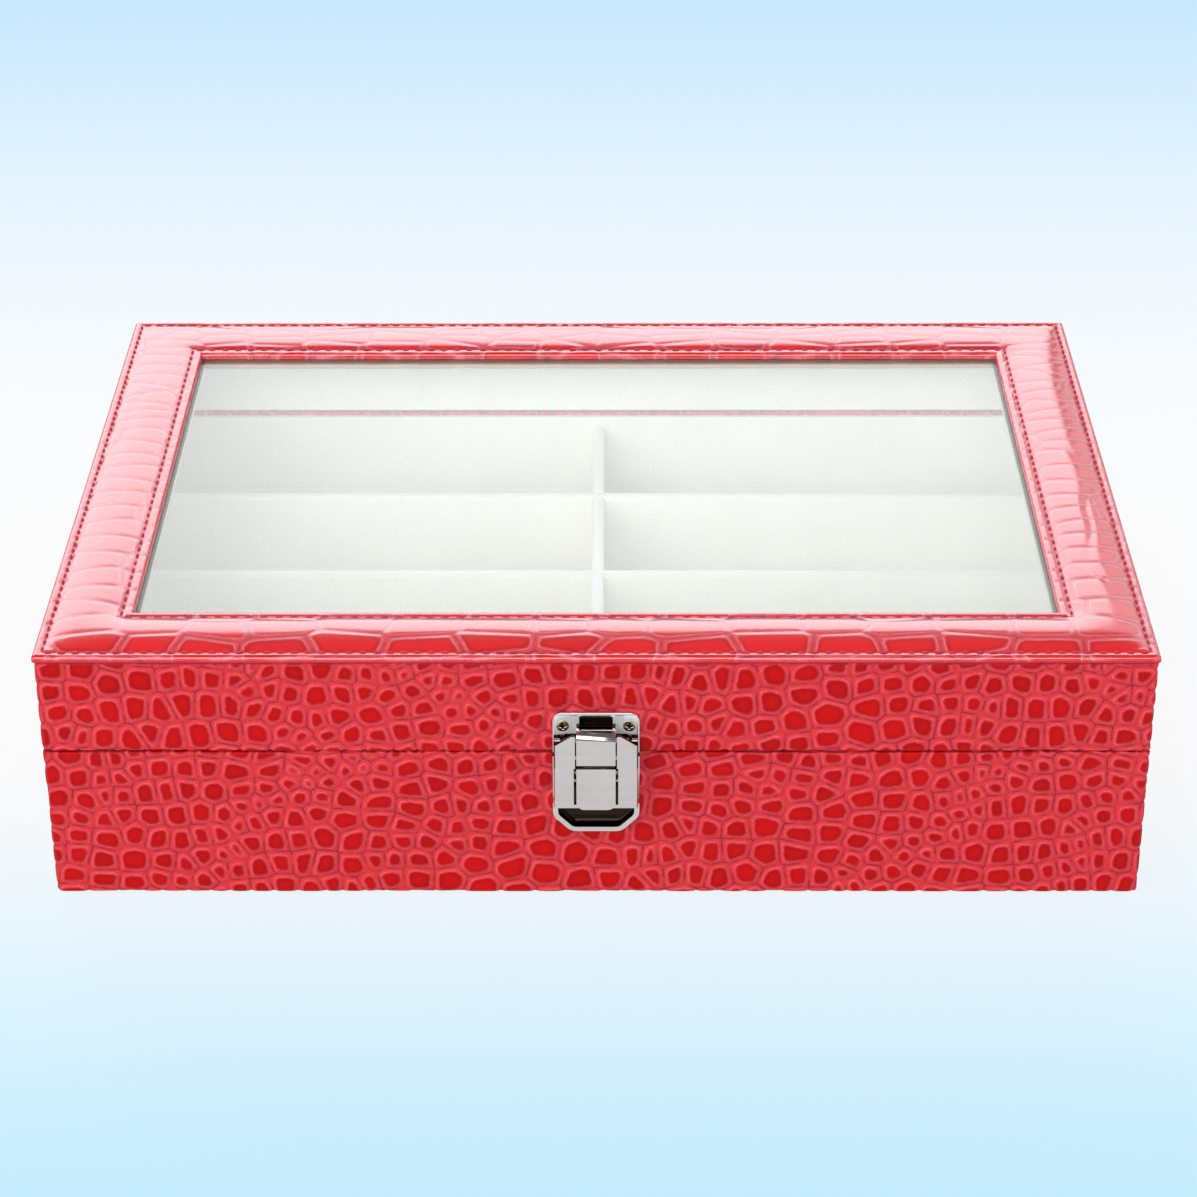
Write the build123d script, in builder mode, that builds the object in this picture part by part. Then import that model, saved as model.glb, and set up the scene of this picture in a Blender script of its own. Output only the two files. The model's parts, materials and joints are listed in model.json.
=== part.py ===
"""Glasses organizer box with a padded, glazed lid and a drawbolt latch.

The box stands on its underside with its latch towards -Y. The origin is the middle of
the underside. Every length is in millimetres.
"""

import os

from build123d import *

os.makedirs("parts", exist_ok=True)

# Whole box
box_length = 330.0
box_depth = 233.0
edge_height = 84.5          # underside to the flat shoulder of the padded top
base_height = 51.1          # underside to the rim of the base
seam_gap = 0.4              # rim of the base to rim of the lid
corner_radius = 1.6         # leather bends round the upright corners

# Sheet goods
leather = 0.8
wall_board = 6.0
floor_board = 4.0
underside_paper = 0.6
underside_inset = 4.0
underside_turn_in = 12.0    # leather folded under the base
rim_turn_down = 8.0         # leather folded over a rim and down inside
lining = 2.0                # velvet glued on card
lining_drop = 1.2           # rim to the top of a lining
floor_pad = 2.4
floor_pad_round = 0.8

# Compartments
columns = 2
rows = 4
divider = 4.0
divider_drop = 4.6          # rim of the base to the top of the dividers
divider_round = 1.6
divider_fit = 0.15          # play at a divider's ends and in its slots

# Padded and glazed top
frame_bar = 26.4            # outer edge of the top to its window
top_overhang = 0.4          # padded top past the lid's sides
top_board = 0.8
top_edge_round = 1.3
shoulder = 3.4              # flat, stitched strip beside each edge of a bar
crown_rise = 1.6
cover_turn_in = 9.0
glass = 2.0
glass_margin = 6.0          # pane past the window, on every side
glass_play = 0.3
glass_corner = 0.6          # chamfer of the pane's upright corners
retainer_lip = 1.0          # retainer seen inside the window
retainer_floor = 2.0        # retainer under the pane

# Hinges
hinge_inset = 60.0          # box's end to the middle of a hinge
hinge_length = 30.0
hinge_leaf = 1.0
leaf_reach = 13.0           # axis to the far edge of a leaf
leaf_corner = 2.0
barrel_radius = 2.1
barrel_clearance = 0.3
barrel_gap = 0.3            # between neighbouring barrels
middle_barrel = 10.0
hinge_pin_radius = 1.0
pin_fit = 0.1               # radial play of a pin in what turns on it
pin_seat = 0.03             # radial play of a pin in what holds it
stop_lug_reach = 4.8        # the lug meets the base leaf when the lid is open
stop_lug_width = 8.0
hinge_screw_drop = 9.0      # axis to a leaf's screws
hinge_screw_spacing = 18.0

# Screws
screw_head_radius = 1.9
leaf_screw_head = 0.7       # the hinges' screws have flat heads that stand on the leaves
screw_shank_radius = 0.8
screw_length = 5.6
screw_play = 0.05

# Latch
latch_width = 25.8
latch_bottom = 26.1
latch_plate = 1.2
latch_fit = 0.4             # latch plates back from the seam
strike_top = 65.7
strike_corner = 3.0
strike_screw_half_spacing = 9.9
strike_screw_height = 61.2
slot_width = 9.8
slot_top = 64.0
slot_recess = 2.4           # pocket in the lid's front board behind the slot
bulge_width = 11.8
bulge_bottom = 54.0
bulge_corner = 1.6
slot_corner = 1.2
bulge_out = 2.9
bulge_wall = 1.0
catch_height = 60.9         # top edge of the bulge, which the hook pulls on
pivot_out = 5.2
pivot_height = 58.6
latch_pin_radius = 0.75
ear_half_spacing = 10.1
ear_sheet = 1.0
ear_radius = 1.7
ear_foot = 9.0              # length of an ear along the base plate
ear_neck_out = 2.4          # where an ear leans out over the seam
ear_neck_rise = 1.2
ear_belly_out = 4.4         # front of an ear, level with the hook's pin
ear_toe_out = 3.6
ear_toe_drop = 5.0
tray_out = 4.5
tray_rim = 1.5
tray_corner = 5.4
tray_bend = 4.0             # round bends of the tray's lower corners
scoop_bend = 1.6            # round bend from the scoop's floor to its rim
tray_top = 36.0
base_screw_half_spacing = 6.2
base_screw_height = 43.5
lever_out = 8.35            # front face of the lever
lever_sheet = 1.2
lever_side_play = 0.4       # lever inside the latch's outline
lever_bottom = 36.9
lever_top = 61.8
lever_flange_back = 2.0
flange_taper = 0.6
flange_knee_drop = 1.6      # pivot to the knee of a flange
flange_neck_back = 2.0      # pivot to the narrow part of a flange
flange_neck_rise = 0.9
wing_bevel_width = 5.2
wing_bevel_height = 3.4
lever_edge_round = 1.1
panel_rise = 0.25           # middle panel proud of the wings
panel_overrun = 0.5
panel_corner = 2.4
gap_width = 0.8             # open gaps beside the middle panel
gap_bridge = 1.2            # sheet left below them
tongue_width = 11.6
tongue_gap = 0.4
tongue_foot_gap = 1.0
pin_end_gap = 0.2           # pin ends back from the lever's sides
crank_out = 1.1             # hook pin from the lever's pivot
crank_drop = 5.2
hook_sheet = 1.2
hook_barrel_radius = 1.6
hook_foot = 1.7             # hook's sheet below its pin
hook_bar = 1.2
hook_bar_out = 1.6
hook_window_width = 9.6
hook_play = 0.2             # hook's bar above the catch
hook_bend = 1.6
hook_window_share = 0.6     # of the bend, where the loop's opening ends
cut_over = 1.0              # cuts run this far past the piece

# Derived places
lid_bottom = base_height + seam_gap
top_bottom = edge_height - leather - top_board - leather
board_length = box_length - 2 * leather
board_depth = box_depth - 2 * leather
cavity_length = board_length - 2 * wall_board
cavity_depth = board_depth - 2 * wall_board
inner_length = cavity_length - 2 * lining
inner_depth = cavity_depth - 2 * lining
floor_bottom = underside_paper + leather
floor_top = floor_bottom + floor_board
pad_top = floor_top + floor_pad
top_length = box_length + 2 * top_overhang
top_depth = box_depth + 2 * top_overhang
bar_width = frame_bar + top_overhang
window_length = top_length - 2 * bar_width
window_depth = top_depth - 2 * bar_width
retainer_bottom = top_bottom - glass - retainer_floor
hinge_height = base_height + seam_gap / 2
hinge_out = barrel_radius + barrel_clearance
hinge_place = box_length / 2 - hinge_inset
hook_pin_out = pivot_out + crank_out
hook_pin_height = pivot_height - crank_drop

front = Plane(origin=(0, -box_depth / 2, 0), x_dir=(1, 0, 0), z_dir=(0, -1, 0))
back = Plane(origin=(0, box_depth / 2, 0), x_dir=(-1, 0, 0), z_dir=(0, 1, 0))
corner_min = (Align.MIN, Align.MIN, Align.MIN)
standing = (Align.CENTER, Align.CENTER, Align.MIN)
hanging = (Align.CENTER, Align.CENTER, Align.MAX)


def front_side(x):
    """Upright plane at x, drawn with the distance out of the front face and the height."""
    return Plane(origin=(x, -box_depth / 2, 0), x_dir=(0, -1, 0), z_dir=(-1, 0, 0))


def back_side(x):
    """Upright plane at x, drawn with the distance out of the back face and the height."""
    return Plane(origin=(x, box_depth / 2, 0), x_dir=(0, 1, 0), z_dir=(1, 0, 0))


def finish(builder, name):
    """Label a finished piece and write it."""
    builder.part.label = name
    export_step(builder.part, f"parts/{name}.step")


def block(low, high, mode=Mode.ADD):
    """Add a block between its lowest and its highest corner."""
    with Locations(low):
        Box(high[0] - low[0], high[1] - low[1], high[2] - low[2], align=corner_min, mode=mode)


def ring(length, depth, wall, bottom, top, corner=0.0):
    """Add a rectangular ring: an outer size, drawn in by the wall on every side."""
    with BuildSketch(Plane.XY.offset(bottom)) as outline:
        if corner:
            RectangleRounded(length, depth, corner)
        else:
            Rectangle(length, depth)
        Rectangle(length - 2 * wall, depth - 2 * wall, mode=Mode.SUBTRACT)
    extrude(outline.sketch, amount=top - bottom)


def plate_screw_section(play):
    """Half section of a wood screw, countersunk through a latch plate, from its head."""
    head = screw_head_radius + play
    shank = screw_shank_radius + play
    with BuildSketch(Plane.XZ) as section:
        with BuildLine():
            Polyline(
                (0, 0),
                (head, 0),
                (shank, -latch_plate),
                (shank, -screw_length - play),
                (0, -screw_length - play),
                close=True,
            )
        make_face()
    return section.sketch


with BuildPart() as plate_screw:
    revolve(plate_screw_section(0.0), axis=Axis.Z)

with BuildPart() as plate_screw_hole:
    revolve(plate_screw_section(screw_play), axis=Axis.Z)

with BuildPart() as leaf_screw:
    Cylinder(screw_head_radius, leaf_screw_head, align=standing)
    Cylinder(screw_shank_radius, screw_length, align=hanging)

with BuildPart() as shank_hole:
    Cylinder(screw_shank_radius + screw_play, screw_length + screw_play, align=hanging)

strike_screw_places = [
    front * Location((side * strike_screw_half_spacing, strike_screw_height, latch_plate))
    for side in (-1, 1)
]
latch_screw_places = [
    front * Location((side * base_screw_half_spacing, base_screw_height, latch_plate))
    for side in (-1, 1)
]


def hinge_screw_places(height):
    """Places of all hinge screws of one body, on the outer face of the leaves."""
    return [
        back * Location((hinge + screw_side * hinge_screw_spacing / 2, height, hinge_leaf))
        for hinge in (-hinge_place, hinge_place)
        for screw_side in (-1, 1)
    ]


base_hinge_screw_places = hinge_screw_places(hinge_height - hinge_screw_drop)
lid_hinge_screw_places = hinge_screw_places(hinge_height + hinge_screw_drop)


def drill(places, hole=shank_hole):
    """Cut the holes of the screws at these places."""
    with Locations(places):
        add(hole.part, mode=Mode.SUBTRACT)


def strike_pocket():
    """Cut the pocket that the hook's bar dips into, behind the strike's slot."""
    with BuildSketch(front) as outline:
        with Locations((0, (catch_height + slot_top) / 2)):
            Rectangle(slot_width, slot_top - catch_height)
    extrude(outline.sketch, amount=-slot_recess, mode=Mode.SUBTRACT)


# Base: underside, floor and walls
with BuildPart() as underside_sheet:
    with BuildSketch():
        RectangleRounded(
            box_length - 2 * underside_inset, box_depth - 2 * underside_inset, corner_radius
        )
    extrude(amount=underside_paper)
finish(underside_sheet, "underside_sheet")

with BuildPart() as base_floor_board:
    block(
        (-cavity_length / 2, -cavity_depth / 2, floor_bottom),
        (cavity_length / 2, cavity_depth / 2, floor_top),
    )
finish(base_floor_board, "base_floor_board")


def wall_boards(prefix, bottom, top, back_places, front_places, pocket):
    """Four boards glued into a frame: front and back run through, the ends sit between."""
    for name, side in (("front", -1), ("back", 1)):
        near = side * cavity_depth / 2
        far = side * board_depth / 2
        with BuildPart() as board:
            block(
                (-board_length / 2, min(near, far), bottom),
                (board_length / 2, max(near, far), top),
            )
            drill(back_places if side > 0 else front_places)
            if pocket and side < 0:
                strike_pocket()
        finish(board, f"{prefix}_{name}_board")
    for name, side in (("left", -1), ("right", 1)):
        near = side * cavity_length / 2
        far = side * board_length / 2
        with BuildPart() as board:
            block(
                (min(near, far), -cavity_depth / 2, bottom),
                (max(near, far), cavity_depth / 2, top),
            )
        finish(board, f"{prefix}_{name}_board")


wall_boards(
    "base", floor_bottom, base_height - leather, base_hinge_screw_places, latch_screw_places, False
)

with BuildPart() as base_leather_wrap:
    ring(box_length, box_depth, leather, underside_paper, base_height, corner_radius)
    ring(
        box_length,
        box_depth,
        leather + underside_turn_in,
        underside_paper,
        floor_bottom,
        corner_radius,
    )
    ring(
        box_length,
        box_depth,
        2 * leather + wall_board,
        base_height - leather,
        base_height,
        corner_radius,
    )
    ring(cavity_length, cavity_depth, leather, base_height - rim_turn_down, base_height)
    drill(base_hinge_screw_places + latch_screw_places)
finish(base_leather_wrap, "base_leather_wrap")


# Linings: cards with a step behind the folded leather of the rim
def linings(prefix, bottom, top, rim, rim_side):
    """Four lining cards. rim_side is 1 where the folded leather is at their top."""
    fold = rim - rim_side * rim_turn_down
    step_low = min(fold, rim)
    step_high = max(fold, rim)
    for name, side in (("front", -1), ("back", 1)):
        near = side * inner_depth / 2
        far = side * cavity_depth / 2
        fold_face = side * (cavity_depth / 2 - leather)
        with BuildPart() as card:
            block(
                (-cavity_length / 2, min(near, far), bottom),
                (cavity_length / 2, max(near, far), top),
            )
            block(
                (-cavity_length / 2, min(fold_face, far), step_low),
                (cavity_length / 2, max(fold_face, far), step_high),
                Mode.SUBTRACT,
            )
            for end in (-1, 1):
                end_in = end * (cavity_length / 2 - leather)
                end_out = end * cavity_length / 2
                block(
                    (min(end_in, end_out), min(near, far), step_low),
                    (max(end_in, end_out), max(near, far), step_high),
                    Mode.SUBTRACT,
                )
        finish(card, f"{prefix}_lining_{name}")
    for name, side in (("left", -1), ("right", 1)):
        near = side * inner_length / 2
        far = side * cavity_length / 2
        fold_face = side * (cavity_length / 2 - leather)
        with BuildPart() as card:
            block(
                (min(near, far), -inner_depth / 2, bottom),
                (max(near, far), inner_depth / 2, top),
            )
            block(
                (min(fold_face, far), -inner_depth / 2, step_low),
                (max(fold_face, far), inner_depth / 2, step_high),
                Mode.SUBTRACT,
            )
        finish(card, f"{prefix}_lining_{name}")


linings("base", floor_top, base_height - lining_drop, base_height, 1)

with BuildPart() as floor_lining:
    block(
        (-inner_length / 2, -inner_depth / 2, floor_top),
        (inner_length / 2, inner_depth / 2, pad_top),
    )
    top_edges = floor_lining.edges().group_by(Axis.Z)[-1]
    fillet(top_edges, floor_pad_round)
finish(floor_lining, "floor_lining")

# Dividers: one runs front to back, the others cross it, halved into each other
divider_top = base_height - divider_drop
divider_middle = (pad_top + divider_top) / 2
row_pitch = (inner_depth + divider) / rows
cross_places = [(index - rows / 2) * row_pitch for index in range(1, rows)]
column_pitch = (inner_length + divider) / columns
centre_places = [(index - columns / 2) * column_pitch for index in range(1, columns)]
slot = divider + 2 * divider_fit

with BuildPart() as centre_divider:
    for x in centre_places:
        block(
            (x - divider / 2, -inner_depth / 2 + divider_fit, pad_top),
            (x + divider / 2, inner_depth / 2 - divider_fit, divider_top),
        )
    long_edges = centre_divider.edges().filter_by(Axis.Y).group_by(Axis.Z)[-1]
    fillet(long_edges, divider_round)
    for x in centre_places:
        for y in cross_places:
            block(
                (x - divider, y - slot / 2, divider_middle),
                (x + divider, y + slot / 2, divider_top + cut_over),
                Mode.SUBTRACT,
            )
finish(centre_divider, "centre_divider")

for number, y in enumerate(cross_places, start=1):
    with BuildPart() as cross_divider:
        block(
            (-inner_length / 2 + divider_fit, y - divider / 2, pad_top),
            (inner_length / 2 - divider_fit, y + divider / 2, divider_top),
        )
        long_edges = cross_divider.edges().filter_by(Axis.X).group_by(Axis.Z)[-1]
        fillet(long_edges, divider_round)
        for x in centre_places:
            block(
                (x - slot / 2, y - divider, pad_top - cut_over),
                (x + slot / 2, y + divider, divider_middle),
                Mode.SUBTRACT,
            )
    finish(cross_divider, f"cross_divider_{number}")

# Lid: walls and their leather
wall_boards(
    "lid", lid_bottom + leather, top_bottom, lid_hinge_screw_places, strike_screw_places, True
)

with BuildPart() as lid_leather_wrap:
    ring(box_length, box_depth, leather, lid_bottom, top_bottom, corner_radius)
    ring(
        box_length,
        box_depth,
        2 * leather + wall_board,
        lid_bottom,
        lid_bottom + leather,
        corner_radius,
    )
    ring(cavity_length, cavity_depth, leather, lid_bottom, lid_bottom + rim_turn_down)
    drill(lid_hinge_screw_places + strike_screw_places)
    strike_pocket()
finish(lid_leather_wrap, "lid_leather_wrap")

linings("lid", lid_bottom + lining_drop, retainer_bottom, lid_bottom, -1)

# Padded top: board, foam and the leather folded round both of its edges
board_bottom = top_bottom + leather
board_top = board_bottom + top_board
crown_start = shoulder
crown_end = bar_width - shoulder


def frame_path():
    """Outer edge of the padded top, from the middle of its front."""
    half_length = top_length / 2
    half_depth = top_depth / 2
    with BuildLine() as path:
        Polyline(
            (0, -half_depth),
            (half_length, -half_depth),
            (half_length, half_depth),
            (-half_length, half_depth),
            (-half_length, -half_depth),
            close=True,
        )
    return path.line


bar_plane = Plane(origin=(0, -top_depth / 2, 0), x_dir=(0, 1, 0), z_dir=(1, 0, 0))

with BuildPart() as lid_top_board:
    ring(
        top_length - 2 * leather,
        top_depth - 2 * leather,
        bar_width - 2 * leather,
        board_bottom,
        board_top,
    )
finish(lid_top_board, "lid_top_board")

with BuildPart() as top_foam:
    with BuildSketch(bar_plane) as foam_section:
        with BuildLine():
            ThreePointArc(
                (crown_start, board_top),
                ((crown_start + crown_end) / 2, board_top + crown_rise),
                (crown_end, board_top),
            )
            Line((crown_end, board_top), (crown_start, board_top))
        make_face()
    sweep(foam_section.sketch, path=frame_path(), transition=Transition.RIGHT)
finish(top_foam, "top_foam")

with BuildPart() as top_leather_cover:
    with BuildSketch(bar_plane) as cover_section:
        with BuildLine():
            Polyline((0, top_bottom), (0, edge_height), (crown_start, edge_height))
            ThreePointArc(
                (crown_start, edge_height),
                ((crown_start + crown_end) / 2, edge_height + crown_rise),
                (crown_end, edge_height),
            )
            Polyline(
                (crown_end, edge_height),
                (bar_width, edge_height),
                (bar_width, top_bottom),
                (bar_width - cover_turn_in, top_bottom),
                (bar_width - cover_turn_in, board_bottom),
                (bar_width - leather, board_bottom),
                (bar_width - leather, board_top),
                (crown_end, board_top),
            )
            ThreePointArc(
                (crown_end, board_top),
                ((crown_start + crown_end) / 2, board_top + crown_rise),
                (crown_start, board_top),
            )
            Polyline(
                (crown_start, board_top),
                (leather, board_top),
                (leather, board_bottom),
                (cover_turn_in, board_bottom),
                (cover_turn_in, top_bottom),
                (0, top_bottom),
            )
        make_face()
        for group in (0, -1):
            edge_corner = cover_section.vertices().group_by(Axis.X)[group].sort_by(Axis.Y)[-1]
            fillet(edge_corner, top_edge_round)
    sweep(cover_section.sketch, path=frame_path(), transition=Transition.RIGHT)
finish(top_leather_cover, "top_leather_cover")

# Glazing: the pane lies in a rebate of the retainer, under the padded top
pane_length = window_length + 2 * glass_margin
pane_depth = window_depth + 2 * glass_margin

with BuildPart() as glass_pane:
    block(
        (-pane_length / 2, -pane_depth / 2, top_bottom - glass),
        (pane_length / 2, pane_depth / 2, top_bottom),
    )
    chamfer(glass_pane.edges().filter_by(Axis.Z), glass_corner)
finish(glass_pane, "glass_pane")

with BuildPart() as glass_retainer:
    retainer_opening_length = window_length - 2 * retainer_lip
    retainer_wall = (cavity_length - retainer_opening_length) / 2
    rebate_wall = (cavity_length - pane_length) / 2 - glass_play
    with BuildSketch(Plane.XY.offset(retainer_bottom)) as retainer_outline:
        Rectangle(cavity_length, cavity_depth)
        Rectangle(
            retainer_opening_length, window_depth - 2 * retainer_lip, mode=Mode.SUBTRACT
        )
    extrude(retainer_outline.sketch, amount=retainer_floor + glass)
    with BuildSketch(Plane.XY.offset(retainer_bottom + retainer_floor)) as rebate:
        Rectangle(pane_length + 2 * glass_play, pane_depth + 2 * glass_play)
    extrude(rebate.sketch, amount=glass, mode=Mode.SUBTRACT)
finish(glass_retainer, "glass_retainer")

# Hinges: the outer barrels belong to the base, the middle one and the stop lug to the lid
outer_barrel_start = middle_barrel / 2 + barrel_gap
outer_barrel = hinge_length / 2 - outer_barrel_start


def hinge_leaf_solid(x, upward, barrels, pin_play):
    """One leaf: a plate on the back face, joined to its barrels round the axis."""
    notch = barrel_radius + barrel_clearance
    with BuildSketch(back) as plate:
        with Locations((-x, hinge_height + upward * (notch + leaf_reach) / 2)):
            Rectangle(hinge_length, leaf_reach - notch)
        far_corners = plate.vertices().group_by(Axis.Y)[-1 if upward > 0 else 0]
        fillet(far_corners, leaf_corner)
    extrude(plate.sketch, amount=hinge_leaf)
    for start, length in barrels:
        with BuildSketch(back_side(x + start)) as barrel:
            with Locations((hinge_out, hinge_height)):
                Circle(barrel_radius)
            with Locations((hinge_leaf / 2, hinge_height + upward * notch / 2)):
                Rectangle(hinge_leaf, notch)
            with Locations((hinge_out / 2, hinge_height + upward * barrel_radius / 2)):
                Rectangle(hinge_out, barrel_radius)
            with Locations((hinge_out, hinge_height)):
                Circle(hinge_pin_radius + pin_play, mode=Mode.SUBTRACT)
        extrude(barrel.sketch, amount=length)


for name, x in (("left", -hinge_place), ("right", hinge_place)):
    with BuildPart() as base_leaf:
        hinge_leaf_solid(
            x,
            -1,
            ((-hinge_length / 2, outer_barrel), (outer_barrel_start, outer_barrel)),
            pin_seat,
        )
        drill(base_hinge_screw_places)
    finish(base_leaf, f"{name}_hinge_base_leaf")

    with BuildPart() as lid_leaf:
        hinge_leaf_solid(x, 1, ((-middle_barrel / 2, middle_barrel),), pin_fit)
        with BuildSketch(back_side(x)) as lug:
            with Locations((hinge_out, hinge_height)):
                Rectangle(
                    stop_lug_reach, hinge_leaf, align=(Align.MIN, Align.CENTER)
                )
                Circle(hinge_pin_radius + pin_fit, mode=Mode.SUBTRACT)
        extrude(lug.sketch, amount=stop_lug_width / 2, both=True)
        drill(lid_hinge_screw_places)
    finish(lid_leaf, f"{name}_hinge_lid_leaf")

    with BuildPart() as hinge_pin:
        with BuildSketch(back_side(x)):
            with Locations((hinge_out, hinge_height)):
                Circle(hinge_pin_radius)
        extrude(amount=hinge_length / 2, both=True)
    finish(hinge_pin, f"{name}_hinge_pin")


def screw_set(name, screw, places):
    """The same screw at each of these places, as separate solids of one node."""
    with BuildPart() as screws:
        with Locations(places):
            add(screw.part)
    finish(screws, name)


screw_set("hinge_base_screws", leaf_screw, base_hinge_screw_places)
screw_set("hinge_lid_screws", leaf_screw, lid_hinge_screw_places)
screw_set("strike_screws", plate_screw, strike_screw_places)
screw_set("latch_base_screws", plate_screw, latch_screw_places)

# Strike plate on the lid: a flat plate with a pressed bulge, open at its top
with BuildPart() as strike_plate:
    strike_bottom = lid_bottom + latch_fit
    with BuildSketch(front):
        with BuildLine():
            half = latch_width / 2
            Polyline(
                (half, strike_bottom), (half, strike_top), (-half, strike_top),
                (-half, strike_bottom), close=True,
            )
        make_face()
        fillet(vertices().group_by(Axis.Y)[-1], strike_corner)
    extrude(amount=latch_plate)
    with BuildSketch(front):
        with Locations((0, bulge_bottom)):
            Rectangle(
                bulge_width, catch_height - bulge_bottom, align=(Align.CENTER, Align.MIN)
            )
        fillet(vertices().group_by(Axis.Y)[0], bulge_corner)
    extrude(amount=bulge_out)
    with BuildSketch(front):
        with Locations((0, bulge_bottom + bulge_wall)):
            Rectangle(
                slot_width, slot_top - bulge_bottom - bulge_wall, align=(Align.CENTER, Align.MIN)
            )
        fillet(vertices().group_by(Axis.Y)[-1], slot_corner)
    extrude(amount=bulge_out - bulge_wall, mode=Mode.SUBTRACT)
    drill(strike_screw_places, plate_screw_hole)
finish(strike_plate, "strike_plate")

# Base plate of the latch: a tray with a finger scoop, and two ears that carry the pivot
tray_half = latch_width / 2
plate_top = base_height - latch_fit
corner_share = 2 - 2 ** 0.5     # keeps the bevelled corners parallel


def tray_face(plane, margin, top):
    """Outline of the tray, drawn in by the margin, up to this height."""
    half = tray_half - margin
    low = latch_bottom + margin
    cut = tray_corner - margin * corner_share
    with BuildSketch(plane) as outline:
        with BuildLine():
            Polyline(
                (-half, top), (-half, low + cut), (-half + cut, low), (half - cut, low),
                (half, low + cut), (half, top), close=True,
            )
        make_face()
        corners = outline.vertices().group_by(Axis.Y)
        fillet(corners[0] + corners[1], tray_bend - margin)
    return outline.sketch


with BuildPart() as latch_base_plate:
    extrude(tray_face(front, 0.0, plate_top), amount=latch_plate)
    extrude(tray_face(front, 0.0, tray_top), amount=tray_out)
    extrude(
        tray_face(front.offset(latch_plate), tray_rim, tray_top + cut_over),
        amount=tray_out,
        mode=Mode.SUBTRACT,
    )
    scoop_edges = [
        edge
        for edge in latch_base_plate.edges()
        if abs(edge.center().Y + box_depth / 2 + latch_plate) < 0.01
        and edge.center().Z < latch_bottom + tray_rim + tray_corner
        and edge.bounding_box().max.Z < latch_bottom + tray_rim + tray_corner
    ]
    fillet(scoop_edges, scoop_bend)
    for side in (-1, 1):
        with BuildSketch(front_side(side * ear_half_spacing)):
            with BuildLine():
                Polyline(
                    (latch_plate / 2, plate_top - ear_foot),
                    (latch_plate / 2, plate_top),
                    (ear_neck_out, base_height + ear_neck_rise),
                    (pivot_out - ear_radius, pivot_height),
                    (pivot_out + ear_radius, pivot_height),
                    (ear_belly_out, hook_pin_height),
                    (ear_toe_out, plate_top - ear_toe_drop),
                    close=True,
                )
            make_face()
            with Locations((pivot_out, pivot_height)):
                Circle(ear_radius)
                Circle(latch_pin_radius + pin_seat, mode=Mode.SUBTRACT)
        extrude(amount=ear_sheet / 2, both=True)
    drill(latch_screw_places, plate_screw_hole)
finish(latch_base_plate, "latch_base_plate")

with BuildPart() as lever_pin:
    with BuildSketch(front_side(0)):
        with Locations((pivot_out, pivot_height)):
            Circle(latch_pin_radius)
    extrude(amount=tray_half - lever_side_play - pin_end_gap, both=True)
finish(lever_pin, "lever_pin")

# Lever: wings beside the hook's slot, a raised panel between open gaps, and side flanges
lever_half = tray_half - lever_side_play
slot_half = tongue_width / 2 + tongue_gap
slot_bottom = hook_pin_height - hook_foot - tongue_foot_gap
panel_half = tongue_width / 2

with BuildPart() as latch_lever:
    with BuildSketch(front.offset(lever_out - lever_sheet)):
        with BuildLine():
            Polyline(
                (-lever_half, lever_bottom),
                (-lever_half, lever_top - wing_bevel_height),
                (-lever_half + wing_bevel_width, lever_top),
                (lever_half - wing_bevel_width, lever_top),
                (lever_half, lever_top - wing_bevel_height),
                (lever_half, lever_bottom),
                close=True,
            )
        make_face()
    extrude(amount=lever_sheet)
    for side in (-1, 1):
        with BuildSketch(front_side(side * (lever_half - lever_sheet / 2))):
            with BuildLine():
                Polyline(
                    (lever_flange_back, lever_bottom),
                    (lever_flange_back + flange_taper, pivot_height - flange_knee_drop),
                    (pivot_out - flange_neck_back, pivot_height + flange_neck_rise),
                    (lever_out, lever_top - wing_bevel_height),
                    (lever_out, lever_bottom),
                    close=True,
                )
            make_face()
        extrude(amount=lever_sheet / 2, both=True)
    outer_edges = [
        edge
        for edge in latch_lever.edges().filter_by(Axis.Z)
        if edge.center().Y < -box_depth / 2 - lever_out + 0.01
        and abs(abs(edge.center().X) - lever_half) < 0.01
    ]
    fillet(outer_edges, lever_edge_round)
    with BuildSketch(front.offset(lever_out)):
        with Locations((0, slot_bottom)):
            Rectangle(
                2 * panel_half,
                slot_bottom - lever_bottom + panel_overrun,
                align=(Align.CENTER, Align.MAX),
            )
        fillet(vertices().group_by(Axis.Y)[0], panel_corner)
    extrude(amount=panel_rise)
    with BuildSketch(front.offset(lever_out - lever_sheet)):
        with Locations((0, slot_bottom)):
            Rectangle(
                2 * slot_half,
                lever_top - slot_bottom + cut_over,
                align=(Align.CENTER, Align.MIN),
            )
    extrude(amount=lever_sheet + panel_rise, mode=Mode.SUBTRACT)
    for side in (-1, 1):
        with BuildSketch(front.offset(lever_out)):
            with Locations((side * (panel_half + gap_width / 2), lever_bottom + gap_bridge)):
                Rectangle(
                    gap_width,
                    slot_bottom - lever_bottom - gap_bridge,
                    align=(Align.CENTER, Align.MIN),
                )
        extrude(amount=-lever_sheet, mode=Mode.SUBTRACT)
    with BuildSketch(front_side(0)):
        with Locations((pivot_out, pivot_height)):
            Circle(latch_pin_radius + pin_fit)
        with Locations((hook_pin_out, hook_pin_height)):
            Circle(latch_pin_radius + pin_seat)
    extrude(amount=tray_half, both=True, mode=Mode.SUBTRACT)
finish(latch_lever, "latch_lever")

with BuildPart() as hook_pin:
    with BuildSketch(front_side(0)):
        with Locations((hook_pin_out, hook_pin_height)):
            Circle(latch_pin_radius)
    extrude(amount=lever_half - pin_end_gap, both=True)
finish(hook_pin, "hook_pin")

# Hook: a strip rolled round its pin, bent over at the top into a loop
bar_bottom = catch_height + hook_play
hook_top = bar_bottom + hook_bar

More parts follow.
